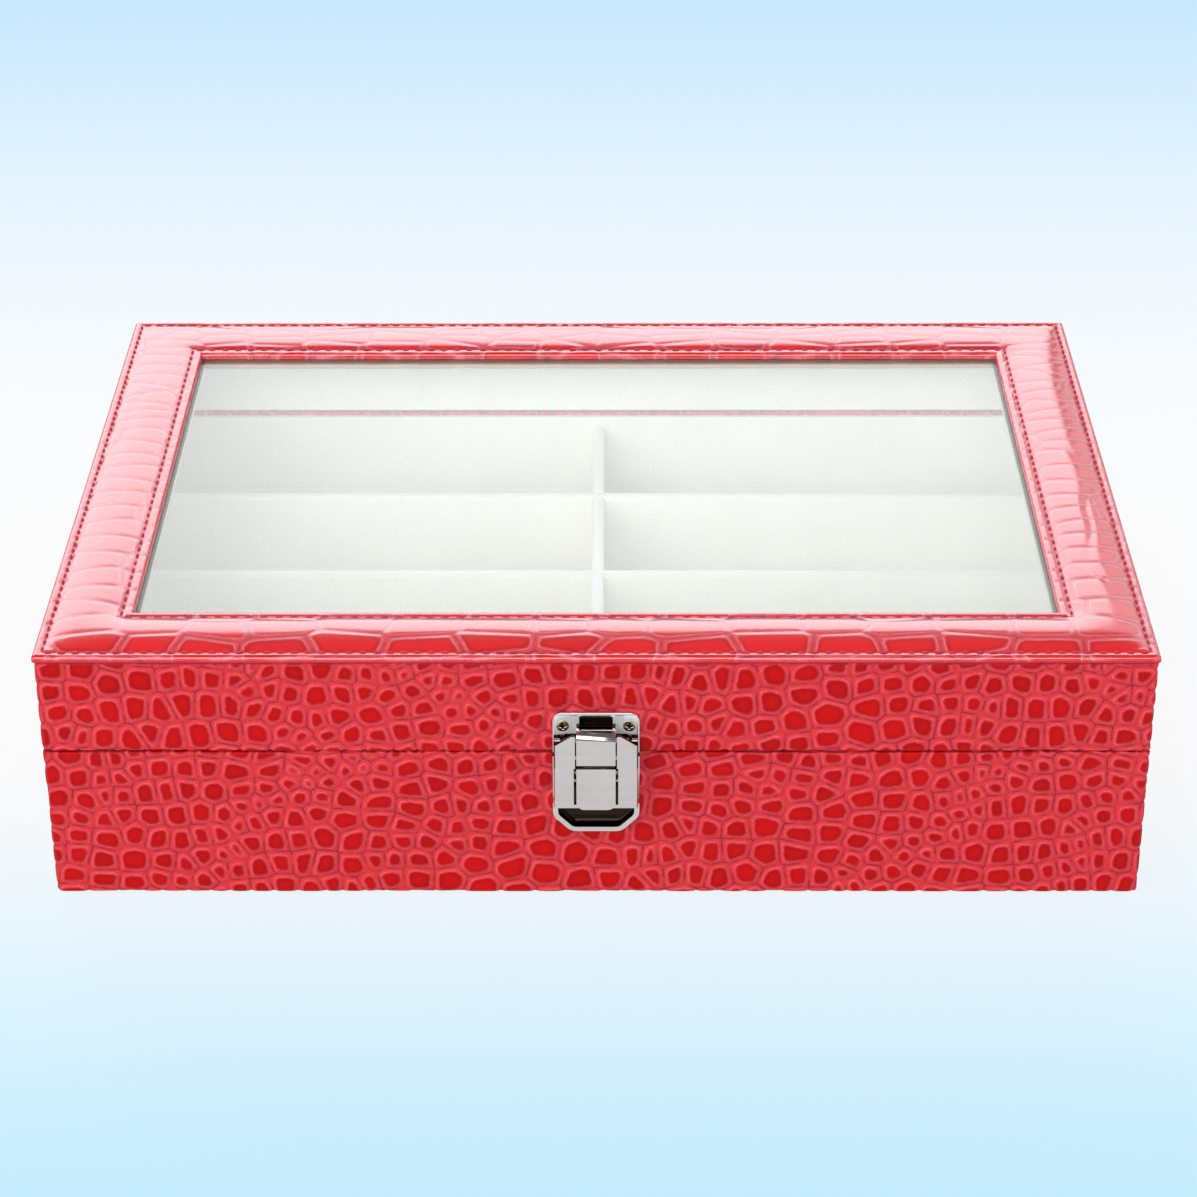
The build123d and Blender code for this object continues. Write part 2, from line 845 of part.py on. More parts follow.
with BuildPart() as latch_hook:
    with BuildSketch(front_side(0)):
        with BuildLine():
            strip_back = lever_out - hook_sheet
            foot = hook_pin_height - hook_foot
            outer_bend = hook_bend + hook_sheet
            Line((lever_out, foot), (lever_out, hook_top - outer_bend))
            RadiusArc(
                (lever_out, hook_top - outer_bend), (lever_out - outer_bend, hook_top), -outer_bend
            )
            Polyline(
                (lever_out - outer_bend, hook_top),
                (hook_bar_out, hook_top),
                (hook_bar_out, bar_bottom),
                (strip_back - hook_bend, bar_bottom),
            )
            RadiusArc(
                (strip_back - hook_bend, bar_bottom), (strip_back, bar_bottom - hook_bend), hook_bend
            )
            Polyline((strip_back, bar_bottom - hook_bend), (strip_back, foot), (lever_out, foot))
        make_face()
        with Locations((hook_pin_out, hook_pin_height)):
            Circle(hook_barrel_radius)
            Circle(latch_pin_radius + pin_fit, mode=Mode.SUBTRACT)
    extrude(amount=tongue_width / 2, both=True)
    with BuildSketch(Plane.XY.offset(bar_bottom - 0.5)):
        with Locations((0, -box_depth / 2 - hook_bar_out - hook_bar)):
            Rectangle(
                hook_window_width,
                lever_out - outer_bend * hook_window_share - hook_bar_out - hook_bar,
                align=(Align.CENTER, Align.MAX),
            )
    extrude(amount=hook_bar + cut_over, mode=Mode.SUBTRACT)
finish(latch_hook, "latch_hook")
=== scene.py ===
"""Looks of the glasses organizer box: crocodile leather, padded top, stitching, velvet and nickel.

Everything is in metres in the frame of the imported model; the helpers take millimetres.
"""

import json
import math

import bmesh
import bpy
import numpy as np
from mathutils import Matrix, Vector


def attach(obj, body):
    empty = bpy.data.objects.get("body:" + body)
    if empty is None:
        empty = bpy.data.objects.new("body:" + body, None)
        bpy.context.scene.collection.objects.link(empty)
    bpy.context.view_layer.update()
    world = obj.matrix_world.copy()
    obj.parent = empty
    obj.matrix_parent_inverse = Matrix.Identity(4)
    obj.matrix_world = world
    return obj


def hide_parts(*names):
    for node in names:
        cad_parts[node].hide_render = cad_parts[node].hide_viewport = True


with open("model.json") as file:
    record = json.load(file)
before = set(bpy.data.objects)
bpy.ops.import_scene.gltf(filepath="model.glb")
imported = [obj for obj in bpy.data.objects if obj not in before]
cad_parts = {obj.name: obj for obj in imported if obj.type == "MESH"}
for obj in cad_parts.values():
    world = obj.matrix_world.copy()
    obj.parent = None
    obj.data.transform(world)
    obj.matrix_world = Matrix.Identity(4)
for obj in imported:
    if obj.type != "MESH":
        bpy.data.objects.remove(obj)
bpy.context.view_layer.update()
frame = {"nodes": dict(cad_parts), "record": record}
nodes = frame["nodes"]
MM = 0.001
ORIGIN = (0.0, 0.0, 0.0)
FAR = 3.0  # millimetres from a crease at which nothing of it shows

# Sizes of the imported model, in millimetres
box_length, box_depth = 330.0, 233.0
base_height, lid_bottom = 51.1, 51.5
top_bottom, edge_height = 82.1, 84.5
leather, wall_board = 0.8, 6.0
underside, floor_bottom = 0.6, 1.4
turn_in, turn_down = 12.0, 8.0
corner_radius = 1.6
slot_low, slot_high, slot_half = 60.9, 64.0, 4.9
top_length, top_depth, bar_width = 330.8, 233.8, 26.8
shoulder, crown_rise = 3.4, 1.6
inner_length, inner_depth, divider = 312.4, 215.4, 4.0


# Mesh helpers
def face_loops(faces):
    """Corner indices and first corner of every face, from arrays of equal-sided faces."""
    sizes = np.concatenate([np.full(len(group), group.shape[1]) for group in faces])
    loops = np.concatenate([group.ravel() for group in faces])
    starts = np.concatenate([[0], np.cumsum(sizes)[:-1]])
    return loops.astype(np.int32), starts.astype(np.int32)


def volume_of(points, faces):
    """Six times the signed volume: the sum over fan triangles of a . (b x c)."""
    fans = [(points[fan[:, :1]], points[fan[:, 1:-1]], points[fan[:, 2:]]) for fan in faces]
    return sum((a * np.cross(b, c)).sum() for a, b, c in fans)


def placed(name, data):
    """An object with this data, linked to the scene."""
    made = bpy.data.objects.new(name, data)
    bpy.context.scene.collection.objects.link(made)
    return made


def piece(name, points, faces, finish, body, replaced=()):
    """A mesh object from points in millimetres, and its faces, turned outwards."""
    points = np.asarray(points, float).reshape(-1, 3)
    if volume_of(points, faces) < 0:
        faces = [group[:, ::-1] for group in faces]
    loops, starts = face_loops(faces)
    mesh = bpy.data.meshes.new(name)
    mesh.vertices.add(len(points))
    mesh.vertices.foreach_set("co", (points * MM).astype(np.float32).ravel())
    mesh.loops.add(len(loops))
    mesh.loops.foreach_set("vertex_index", loops)
    mesh.polygons.add(len(starts))
    mesh.polygons.foreach_set("loop_start", starts)
    mesh.update(calc_edges=True)
    mesh.polygons.foreach_set("use_smooth", np.ones(len(starts), bool))
    mesh.materials.append(finish)
    made = placed(name, mesh)
    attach(made, body)
    if replaced:
        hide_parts(*replaced)
    return made, faces


def grid_quads(rows, columns, close_rows=False, close_columns=False):
    """Faces of a grid whose point (row, column) has the number row * columns + column."""
    row = np.arange(rows if close_rows else rows - 1)[:, None]
    column = np.arange(columns if close_columns else columns - 1)[None, :]
    next_row = (row + 1) % rows
    next_column = (column + 1) % columns
    here, above = row * columns, next_row * columns
    corners = [here + column, here + next_column, above + next_column, above + column]
    return np.stack(np.broadcast_arrays(*corners), axis=-1).reshape(-1, 4)


def point_attribute(made, name, values):
    """A number for each point of the mesh."""
    layer = made.data.attributes.new(name, "FLOAT", "POINT")
    layer.data.foreach_set("value", np.asarray(values, np.float32).ravel())


def keep_scales(made, creases, rounded, tone):
    """What the shader needs of the scales: for each corner of each face its distances from two
    creases, as a UV map, and for each point its rounded distance and its scale's tone."""
    layer = made.data.uv_layers.new(name="creases")
    layer.uv.foreach_set("vector", np.asarray(creases, np.float32).ravel())
    point_attribute(made, "rounded", rounded)
    point_attribute(made, "tone", tone)


def sampled(stops, step):
    """Numbers from stop to stop, about a step apart, each stop included."""
    runs = []
    for start, end in zip(stops[:-1], stops[1:]):
        count = max(1, int(round(abs(end - start) / step)))
        runs.append(np.linspace(start, end, count, endpoint=False))
    return np.concatenate(runs + [[stops[-1]]])


# The hide: scales as a jittered grid of centres, with creases half way between neighbours
def hide(seed, columns, rows, pitch, start, jitter, waves, weigh=(1.0, 1.0)):
    """A hide of scales: the random share and tone of each, the size of a cell, the first cell's
    corner, and slow waves (turns along a row, turns up a column, sway along, sway up, in cells,
    and a phase, or else a random one) that make the scales larger in places. The directions
    are weighed, so that long scales have sides square to each other."""
    random = np.random.default_rng(seed)
    share = jitter * (random.random((rows, columns, 2)) - 0.5)
    tones = random.random((rows, columns))
    slow = []
    for wave in waves:
        phase = 2 * np.pi * random.random() if len(wave) == 4 else wave[4]
        turn = 2 * np.pi * np.array([wave[0] / columns, wave[1] / rows])
        slow.append((turn, phase, np.array(wave[2:4])))
    place = {"pitch": np.array(pitch), "start": np.array(start), "weigh": np.array(weigh)}
    return {"share": share, "tones": tones, "slow": slow} | place


def slow_sway(cells, skin):
    """Sum of the hide's slow sine waves at places given in cells."""
    total = np.zeros_like(cells)
    for turn, phase, sway in skin["slow"]:
        total += np.sin(cells @ turn + phase)[..., None] * sway
    return total


def scale_neighbours(spots, skin):
    """Centres of the 25 scales round each spot of the flat hide, in millimetres: the middle of
    the cell, plus the slow waves there, plus the scale's random share."""
    rows, columns = skin["tones"].shape
    given = (spots - skin["start"]) / skin["pitch"]
    still = given
    for _ in range(3):
        still = given - slow_sway(still, skin)
    home = np.floor(still).astype(int)
    places = np.empty((25, len(spots), 2), np.float32)
    for index in range(25):
        near = home + (index % 5 - 2, index // 5 - 2)
        middle = near + 0.5
        share = skin["share"][near[:, 1] % rows, near[:, 0] % columns]
        places[index] = (middle + slow_sway(middle, skin) + share) * skin["pitch"] + skin["start"]
    return places, home


def squared(apart, weigh):
    """Squared length of weighed differences."""
    return ((weigh * apart) ** 2).sum(-1)


def crease_distances(spots, places, weigh):
    """Distance to the line half way to each neighbour: (|w(x-q)|^2 - |w(x-p)|^2) / (2 |ww(q-p)|),
    where p is the nearest centre, q another one and w the weight of each direction."""
    squares = squared(spots - places, weigh)
    nearest = squares.argmin(0)
    every = np.arange(len(spots))
    own = places[nearest, every]
    apart = np.sqrt(squared(places - own, weigh**2))
    apart[nearest, every] = 1
    distance = (squares - squares[nearest, every]) / (2 * apart)
    distance[nearest, every] = 1e3
    return distance, nearest, own


def scale_relief(spots, skin):
    """For each spot: distance to the nearest crease, the same with rounded corners (minus the
    logarithm of the sum of exponentials), and its scale's random tone."""
    places, home = scale_neighbours(spots, skin)
    distance, nearest, _ = crease_distances(spots, places, skin["weigh"])
    rounding = 2.0
    rounded = -np.log(np.exp(-rounding * distance).sum(0)) / rounding
    rows, columns = skin["tones"].shape
    own_cell = home + np.stack([nearest % 5 - 2, nearest // 5 - 2], -1)
    tone = skin["tones"][own_cell[:, 1] % rows, own_cell[:, 0] % columns]
    return distance.min(0), rounded, tone


def crease_lines(middles, corners, skin):
    """Signed distances of a face's corners from the two creases nearest to its middle. They
    are exact over the face, so the shader draws each crease as a clean line."""
    places, _ = scale_neighbours(middles, skin)
    weigh = skin["weigh"]
    distance, _, own = crease_distances(middles, places, weigh)
    order = np.argpartition(distance, 1, axis=0)[:2]
    every = np.arange(len(middles))
    lines = []
    for rank in (0, 1):
        other = places[order[rank], every]
        apart = np.sqrt(squared(other - own, weigh**2))[:, None]
        far, near = (squared(corners - centre[:, None], weigh) for centre in (other, own))
        lines.append((far - near) / (2 * apart))
    return np.stack(lines, -1)


def relief_height(edge, rounded, depth, dome):
    """Depth below the hide's highest level: a round-bottomed crease, minus the exponential of
    the squared distance, and a low dome that rises over the inner 3 mm of each scale."""
    crease = depth * np.exp(-((edge / 0.6) ** 2))
    rise = np.clip((rounded - 0.5) / 2.0, 0, 1)
    return -crease - dome * (1 - rise * rise * (3 - 2 * rise))


# Paths round the box
def side_columns(half_length, half_depth, radius, side, step):
    """One side of a rounded rectangle, from the middle of one corner bend to the next: for
    each column its place on the rectangle of bend centres (-1 to 1), its outward angle and
    the length run along the outside."""
    along = half_length if side % 2 == 0 else half_depth
    straight = sampled([-1.0, 1.0], step / (along - radius))
    turn = np.radians(np.array([-45.0, -22.5]))
    unit = np.concatenate([[-1.0, -1.0], straight, [1.0, 1.0]])
    angle = np.concatenate([turn, np.zeros(len(straight)), -turn[::-1]]) + (side - 1) * np.pi / 2
    ones = np.ones_like(unit)
    spots = [(unit, -ones), (ones, unit), (-unit, ones), (-ones, -unit)][side]
    run = (unit + 1) * (along - radius) + radius * (angle - (side - 1.5) * np.pi / 2)
    return np.stack(spots, -1), angle, run


def carried(spots, angle, inward, half_length, half_depth, radius, least):
    """x and y of a profile carried round a rounded rectangle: each place on the rectangle of
    bend centres, drawn in, plus the bend, which shrinks by the inward distance to its least."""
    bend = np.maximum(radius - inward, least)
    x = spots[:, 0] * (half_length - inward - bend) + bend * np.cos(angle)
    y = spots[:, 1] * (half_depth - inward - bend) + bend * np.sin(angle)
    return x, y


def profile_rows(corners, steps):
    """A closed profile through corner points (inward, height, bend radius), with round bends.
    steps gives the spacing of the rows on each run that starts at the same corner. Returns the
    rows and the length run along the profile."""
    count = len(corners)
    places = np.array([corner[:2] for corner in corners], float)
    rows = []
    for index in range(count):
        before, here, after = places[index - 1], places[index], places[(index + 1) % count]
        to_before = (before - here) / np.linalg.norm(before - here)
        to_after = (after - here) / np.linalg.norm(after - here)
        radius = corners[index][2]
        swing = np.linspace(0, 1, 6 if radius else 1)[:, None] * np.pi / 2
        start, end = here + to_before * radius, here + to_after * radius
        middle = here + (to_before + to_after) * radius
        rows.append(middle + (start - middle) * np.cos(swing) + (end - middle) * np.sin(swing))
        leave = here + to_after * radius
        arrive = after - to_after * corners[(index + 1) % count][2]
        pieces = max(1, int(round(np.linalg.norm(arrive - leave) / steps[index])))
        share = np.linspace(0, 1, pieces + 1)[1:-1, None]
        rows.append(leave + (arrive - leave) * share)
    rows = np.concatenate(rows)
    run = np.concatenate([[0], np.cumsum(np.linalg.norm(np.diff(rows, axis=0), axis=1))])
    return rows, run


def profile_normals(rows):
    """Unit vectors square to a closed profile, as (inward, height)."""
    tangent = np.roll(rows, -1, 0) - np.roll(rows, 1, 0)
    tangent /= np.linalg.norm(tangent, axis=1)[:, None]
    return np.stack([tangent[:, 1], -tangent[:, 0]], -1)


SIDE_NAMES = ("front", "right", "back", "left")


def nearest(values, aim):
    """Number of the value that lies nearest to an aim."""
    return int(np.argmin(np.abs(values - aim)))


def slot_in_leather(points, rows, quads, count):
    """Opening of the front leather behind the strike plate's slot: its outer and inner faces
    are left out there, and a strip through the leather joins the two openings."""
    outer = np.flatnonzero((rows[:, 0] < 0.001) & (rows[:, 1] > slot_low - 2))
    inner = np.flatnonzero(np.abs(rows[:, 0] - leather) < 0.001)
    (low, high), (back_low, back_high) = (
        [face[nearest(rows[face, 1], level)] for level in (slot_low, slot_high)]
        for face in (outer, inner)
    )
    left, right = (nearest(points[low, :, 0], x) for x in (-slot_half, slot_half))
    points[[low, back_low], left : right + 1, 2] = slot_low
    points[[high, back_high], left : right + 1, 2] = slot_high
    for column, x in ((left, -slot_half), (right, slot_half)):
        points[low : high + 1, column, 0] = x
        points[[back_high, back_low], column, 0] = x
    row, column = quads[:, 0] // count, quads[:, 0] % count
    inside = (column >= left) & (column < right)
    open_row = ((row >= low) & (row < high)) | ((row >= back_high) & (row < back_low))
    kept = quads[~(inside & open_row)]
    here, after = np.arange(left, right), np.arange(left, right) + 1
    under = [low * count + here, low * count + after]
    under += [back_low * count + after, back_low * count + here]
    over = [high * count + after, high * count + here]
    over += [back_high * count + here, back_high * count + after]
    strips = np.concatenate([np.stack(under, -1), np.stack(over, -1)])
    up = np.arange(low, high + 1)
    left_end = np.concatenate([up[::-1], [back_low, back_high]]) * count + left
    right_end = np.concatenate([up, [back_high, back_low]]) * count + right
    return kept, strips, np.stack([left_end, right_end])


def leather_walls(prefix, corners, steps, shown_from, shown_to, skin):
    """The leather round one half of the box, one piece for each side: a closed profile is
    carried round the box, and its rows from one condition to another sink into the creases of
    the hide. Along its top edge the lid's leather has a painted shadow line, in the crease colour,
    under the padded top."""
    half_length, half_depth = box_length / 2, box_depth / 2
    rows, run = profile_rows(corners, steps)
    square = profile_normals(rows)
    outward = square if square[np.argmin(rows[:, 0]), 0] < 0 else -square
    start, end = (run[np.argmax(reached(rows))] for reached in (shown_from, shown_to))
    fade, crease_depth, dome, painted_shadow_spread = 1.5, 0.3, 0.12, 0.45
    show = np.clip((run - start + fade) / fade, 0, 1) * np.clip((end + fade - run) / fade, 0, 1)
    done = 0.0
    for side, side_name in enumerate(SIDE_NAMES):
        spots, angle, along = side_columns(half_length, half_depth, corner_radius, side, 0.6)
        flat = np.stack(np.broadcast_arrays(along[None] + done, run[:, None]), -1)
        shape, flat = flat.shape[:2], flat.astype(np.float32).reshape(-1, 2)
        edge, rounded, tone = scale_relief(flat, skin)
        height = relief_height(edge, rounded, crease_depth, dome).reshape(shape)
        height = height * show[:, None]
        inward = rows[:, :1] + outward[:, :1] * height
        level = rows[:, 1:] + outward[:, 1:] * height
        x, y = carried(spots, angle, inward, half_length, half_depth, corner_radius, 0.25)
        points = np.stack([x, y, level], -1)
        quads = grid_quads(*shape, close_rows=True)
        end_column = np.arange(shape[0]) * shape[1]
        extra = [np.stack([end_column, end_column[::-1] + shape[1] - 1])]
        if prefix == "lid" and side_name == "front":
            quads, strips, slot_ends = slot_in_leather(points, rows, quads, shape[1])
            extra += [strips, slot_ends]
        made, faces = piece(
            f"{prefix}_leather_{side_name}", points, [quads] + extra, wall_leather, prefix,
            (f"{prefix}_leather_wrap",) if side == 0 else (),
        )
        loops, _ = face_loops(faces)
        wall = flat[loops[: quads.size]].reshape(-1, 4, 2)
        lines = crease_lines(wall.mean(1), wall, skin)
        lines[np.ptp(wall[:, :, 1], axis=1) > 10] = FAR
        # Painted shadow: the lid leather's top rows take the crease colour as a dark line under the
        # padded top.
        if prefix == "lid":
            below_edge = painted_shadow_spread * np.abs(end - wall[:, :, 1])
            at_edge = below_edge.min(1) < 0.01
            lines[at_edge, :, 0] = below_edge[at_edge]
        caps = np.full((len(loops) - quads.size, 2), FAR)
        keep_scales(made, np.concatenate([lines.reshape(-1, 2), caps]), rounded, tone)
        done += along[-1]


# Node helpers
def add_node(kind, values, tree=None, **settings):
    """Outputs of a new node with its settings and the values of its inputs, by name or number.
    If no tree is given, it goes into that of the sockets among its values."""
    sockets = [value for value in values.values() if isinstance(value, bpy.types.NodeSocket)]
    tree = tree or sockets[0].id_data
    node = tree.nodes.new("ShaderNode" + kind)
    for key, value in settings.items():
        setattr(node, key, value)
    for key, value in values.items():
        if isinstance(value, bpy.types.NodeSocket):
            tree.links.new(value, node.inputs[key])
        else:
            node.inputs[key].default_value = value
    return node.outputs


def connect(inputs, **sockets):
    """Each socket goes into the input of its name."""
    for key, socket in sockets.items():
        socket.id_data.links.new(socket, inputs[key.replace("_", " ")])


def maths(operation, first, second=0.0, clamp=False):
    """Result of one sum on sockets or plain numbers."""
    return add_node("Math", {0: first, 1: second}, operation=operation, use_clamp=clamp)[0]


def ramp(value, low, high, start=0.0, end=1.0):
    """value from low..high carried smoothly to start..end."""
    values = {"Value": value, "From Min": low, "From Max": high, "To Min": start, "To Max": end}
    return add_node("MapRange", values, interpolation_type="SMOOTHSTEP")[0]


def blend_colour(share, first, second, kind="MIX"):
    """The first colour where the share is 0, and the second, or their product, where it is 1."""
    values = {0: share, 6: first, 7: second}
    return add_node("Mix", values, data_type="RGBA", blend_type=kind)[2]


def noise(coordinate, scale, detail, roughness=0.5):
    """Noise of a scale given per metre."""
    values = {"Vector": coordinate, "Scale": scale, "Detail": detail, "Roughness": roughness}
    return add_node("TexNoise", values)[0]


def grain(coordinate, size, detail=3.0):
    """Noise with features about size millimetres wide."""
    return noise(coordinate, 1000.0 / size, detail, 0.55)


def mesh_value(tree, name):
    """A number that the mesh keeps for each of its points."""
    return add_node("Attribute", {}, tree, attribute_name=name)["Fac"]


def object_place(tree):
    """Object coordinates of a material."""
    return add_node("TexCoord", {}, tree)["Object"]


def bump(height, distance):
    """Normal from a height in the given real distance, in millimetres."""
    return add_node("Bump", {"Strength": 1.0, "Distance": distance * MM, "Height": height})[0]


def overlaid(tree, share, other):
    """The tree's own shader gives way to another one where the share is 1."""
    output = tree.nodes.get("Material Output") or tree.nodes["World Output"]
    own = output.inputs["Surface"].links[0].from_socket
    connect(output.inputs, Surface=add_node("MixShader", {0: share, 1: own, 2: other})[0])


FLOAT, COLOUR, VECTOR = "NodeSocketFloat", "NodeSocketColor", "NodeSocketVector"


def group(name, defaults, outputs):
    """An empty shader node group. A default of one number makes a plain input, one of three a
    vector and one of four a colour. Of the outputs, only Colour is a colour."""
    tree = bpy.data.node_groups.new(name, "ShaderNodeTree")
    for key, value in defaults.items():
        kind = {1: FLOAT, 3: VECTOR, 4: COLOUR}[np.size(value)]
        socket = tree.interface.new_socket(name=key, in_out="INPUT", socket_type=kind)
        socket.default_value = value
    for key in outputs:
        kind = COLOUR if key == "Colour" else FLOAT
        tree.interface.new_socket(name=key, in_out="OUTPUT", socket_type=kind)
    given, result = tree.nodes.new("NodeGroupInput"), tree.nodes.new("NodeGroupOutput")
    return tree, given.outputs, result.inputs


def use_group(shared, **values):
    """Outputs of a shared group placed in a material, with its own values."""
    values = {key.replace("_", " "): value for key, value in values.items()}
    return add_node("Group", values, node_tree=shared)


def material(name, **shader):
    """A material with one shader; its plain values are set on the shader's own sockets."""
    made = bpy.data.materials.new(name)
    made.use_nodes = True
    surface = made.node_tree.nodes["Principled BSDF"].inputs
    for key, value in shader.items():
        surface[key.replace("_", " ")].default_value = value
    return made, made.node_tree, surface


# Leather
def hide_pigment_group():
    """Colour, roughness and height of embossed hide. The crease is the distance 0, beside it
    lies the border, then a pale line, and the glossy scale starts where the line ends."""
    defaults = {
        "Crease": FAR, "Rounded": FAR, "Tone": 0.5, "Place": ORIGIN,
        "Scale Colour": (0.60, 0.001, 0.002, 1), "Border Colour": (0.69, 0.032, 0.042, 1),
        "Line Colour": (0.83, 0.1, 0.12, 1), "Crease Colour": (0.28, 0.02, 0.035, 1),
        "Border Width": 0.8, "Rise": 4.2, "Wrinkles": 0.0,
    }
    tree, given, result = group("hide_pigment", defaults, ("Colour", "Roughness", "Height"))
    place = given["Place"]
    wave = maths("SUBTRACT", grain(place, 1.8), 0.5)
    rounded = maths("ADD", given["Rounded"], maths("MULTIPLY", wave, 0.9))
    inside = maths("SUBTRACT", rounded, given["Border Width"])
    scale_share = ramp(inside, 0.35, 0.85)
    line_rise = ramp(inside, -0.3, 0.0)
    line_fall = ramp(inside, 0.05, 0.4, 1.0, 0.0)
    faded = ramp(grain(place, 4.5), 0.36, 0.6, 0.4, 1.0)
    line_share = maths("MULTIPLY", line_rise, line_fall)
    line_share = maths("MULTIPLY", line_share, faded)
    blotch = grain(place, 9.0)
    tone = maths("MULTIPLY", given["Tone"], 0.35)
    tone = maths("ADD", tone, maths("MULTIPLY", blotch, 0.5))
    # Painted light: each scale is painted lighter towards its middle and darker towards its edges,
    # like a lit dome, on top of its random tone.
    painted_dome_highlight = maths("MULTIPLY", ramp(rounded, 1.6, 3.6), 0.55)
    lit = maths("ADD", painted_dome_highlight, tone, clamp=True)
    darker_tone_and_painted_shade = blend_colour(1.0, given["Scale Colour"], (0.55, 0.4, 0.4, 1), "MULTIPLY")
    scale = blend_colour(lit, darker_tone_and_painted_shade, given["Scale Colour"])
    border = blend_colour(blotch, given["Border Colour"], given["Line Colour"])
    border = blend_colour(0.8, border, given["Border Colour"])
    colour = blend_colour(scale_share, border, scale)
    colour = blend_colour(line_share, colour, given["Line Colour"])
    # Painted shade: the creases are darkened towards the crease colour, in broken lines.
    crease_shade_breaks = ramp(grain(place, 2.6), 0.36, 0.62, 0.15, 1.0)
    crease_share = ramp(given["Crease"], 0.05, 0.42, 1.0, 0.0)
    crease_share = maths("MULTIPLY", crease_share, crease_shade_breaks)
    colour = blend_colour(crease_share, colour, given["Crease Colour"])
    pores = grain(place, 0.45, 2.0)
    rough = ramp(scale_share, 0.0, 1.0, 0.46, 0.26)
    rough = maths("ADD", rough, maths("MULTIPLY", pores, 0.08))
    height = maths("MULTIPLY", crease_share, -1.0)
    parts = (
        (line_share, 0.25), (ramp(inside, -0.35, 0.75), given["Rise"]), (pores, 0.12),
        (grain(place, 3.2, 2.0), given["Wrinkles"]),
    )
    for share, amount in parts:
        height = maths("ADD", height, maths("MULTIPLY", share, amount))
    connect(result, Colour=colour, Roughness=rough, Height=height)
    return tree


hide_pigment = hide_pigment_group()


def crocodile_leather(name, coat, crease_height, border, colours, **shader):
    """Glossy embossed leather that reads the creases, rounded distance and tone of its mesh.
    Along a seam the mesh is drawn in and the leather is a deeper red without its coat; under the
    padded top's outer edge the same deeper red without coat is painted shadow."""
    made, tree, surface = material(name, IOR=1.5, **shader)
    lines = add_node("UVMap", {}, tree, uv_map="creases")[0]
    parts = add_node("SeparateXYZ", {0: lines})
    first, second = (maths("ABSOLUTE", parts[index]) for index in (0, 1))
    skin = use_group(
        hide_pigment, Crease=maths("MINIMUM", first, second), Rounded=mesh_value(tree, "rounded"),
        Tone=mesh_value(tree, "tone"), Place=object_place(tree), Border_Width=border, **colours,
    )
    # Painted shadow under the padded top's outer edge, and a deeper red along the seams, both
    # without coat.
    seam_and_painted_shadow = mesh_value(tree, "seam_and_painted_shadow")
    colour = blend_colour(seam_and_painted_shadow, skin["Colour"], (0.6, 0.01, 0.025, 1))
    glossy = maths("MULTIPLY", maths("SUBTRACT", 1.0, seam_and_painted_shadow), coat)
    normal = bump(skin["Height"], crease_height)
    rough = skin["Roughness"]
    connect(surface, Base_Color=colour, Coat_Weight=glossy, Roughness=rough, Normal=normal)
    return made


wall_leather = crocodile_leather(
    "wall_leather", 0.06, 0.12, 0.92, {}, Specular_IOR_Level=0.12, Coat_Roughness=0.2
)
# Painted light: the top leather's colours are lighter than the walls', standing in for the extra
# light that falls on the top faces from above.
top_pigment_painted_lighter = {
    "Scale_Colour": (0.93, 0.008, 0.01, 1), "Border_Colour": (0.86, 0.04, 0.055, 1),
    "Line_Colour": (0.93, 0.2, 0.23, 1), "Crease_Colour": (0.42, 0.03, 0.05, 1), "Rise": 1.0,
    "Wrinkles": 3.0,
}
top_gloss = {"Specular_IOR_Level": 0.2, "Coat_Roughness": 0.16, "Coat_IOR": 2.15}
top_leather = crocodile_leather("top_leather", 0.92, 0.04, 1.1, top_pigment_painted_lighter, **top_gloss)


# Velvet, boards, metal and thread
def fine_surface_group():
    """Colour with small soft changes, and the height of the same grain."""
    defaults = {
        "Place": ORIGIN, "Colour": (0.5, 0.5, 0.5, 1), "Second Colour": (0.4, 0.4, 0.4, 1),
        "Grain Scale": 1000.0, "Patch Scale": 60.0, "Patch Share": 0.5, "Stretch": (1.0, 1.0, 1.0),
        "Roughness Low": 0.3, "Roughness High": 0.5,
    }
    tree, given, result = group("fine_surface", defaults, ("Colour", "Roughness", "Height"))
    values = {0: given["Place"], 1: given["Stretch"]}
    stretched = add_node("VectorMath", values, operation="MULTIPLY")[0]
    fine = noise(stretched, given["Grain Scale"], 2.0)
    patch = noise(given["Place"], given["Patch Scale"], 3.0)
    patches = maths("MULTIPLY", ramp(patch, 0.3, 0.7), given["Patch Share"])
    grains = maths("MULTIPLY", ramp(fine, 0.35, 0.65), 0.35)
    both = maths("ADD", patches, grains, clamp=True)
    colour = blend_colour(both, given["Colour"], given["Second Colour"])
    spread = maths("SUBTRACT", given["Roughness High"], given["Roughness Low"])
    rough = maths("ADD", given["Roughness Low"], maths("MULTIPLY", both, spread))
    connect(result, Colour=colour, Roughness=rough, Height=fine)
    return tree


fine_surface = fine_surface_group()


def plain_material(
    name, height, colour, second, rough, scales, stretch=(1.0, 1.0, 1.0), patches=0.5, **shader
):
    """A material whose colour, roughness and bump come from the fine surface group: two
    colours, the lowest and highest roughness, and the scales of the grain and the patches."""
    made, tree, surface = material(name, **shader)
    found = use_group(
        fine_surface, Place=object_place(tree), Colour=(*colour, 1), Second_Colour=(*second, 1),
        Grain_Scale=scales[0], Patch_Scale=scales[1], Patch_Share=patches, Stretch=stretch,
        Roughness_Low=rough[0], Roughness_High=rough[1],
    )
    normal = bump(found["Height"], height)
    connect(surface, Base_Color=found["Colour"], Roughness=found["Roughness"], Normal=normal)
    return made


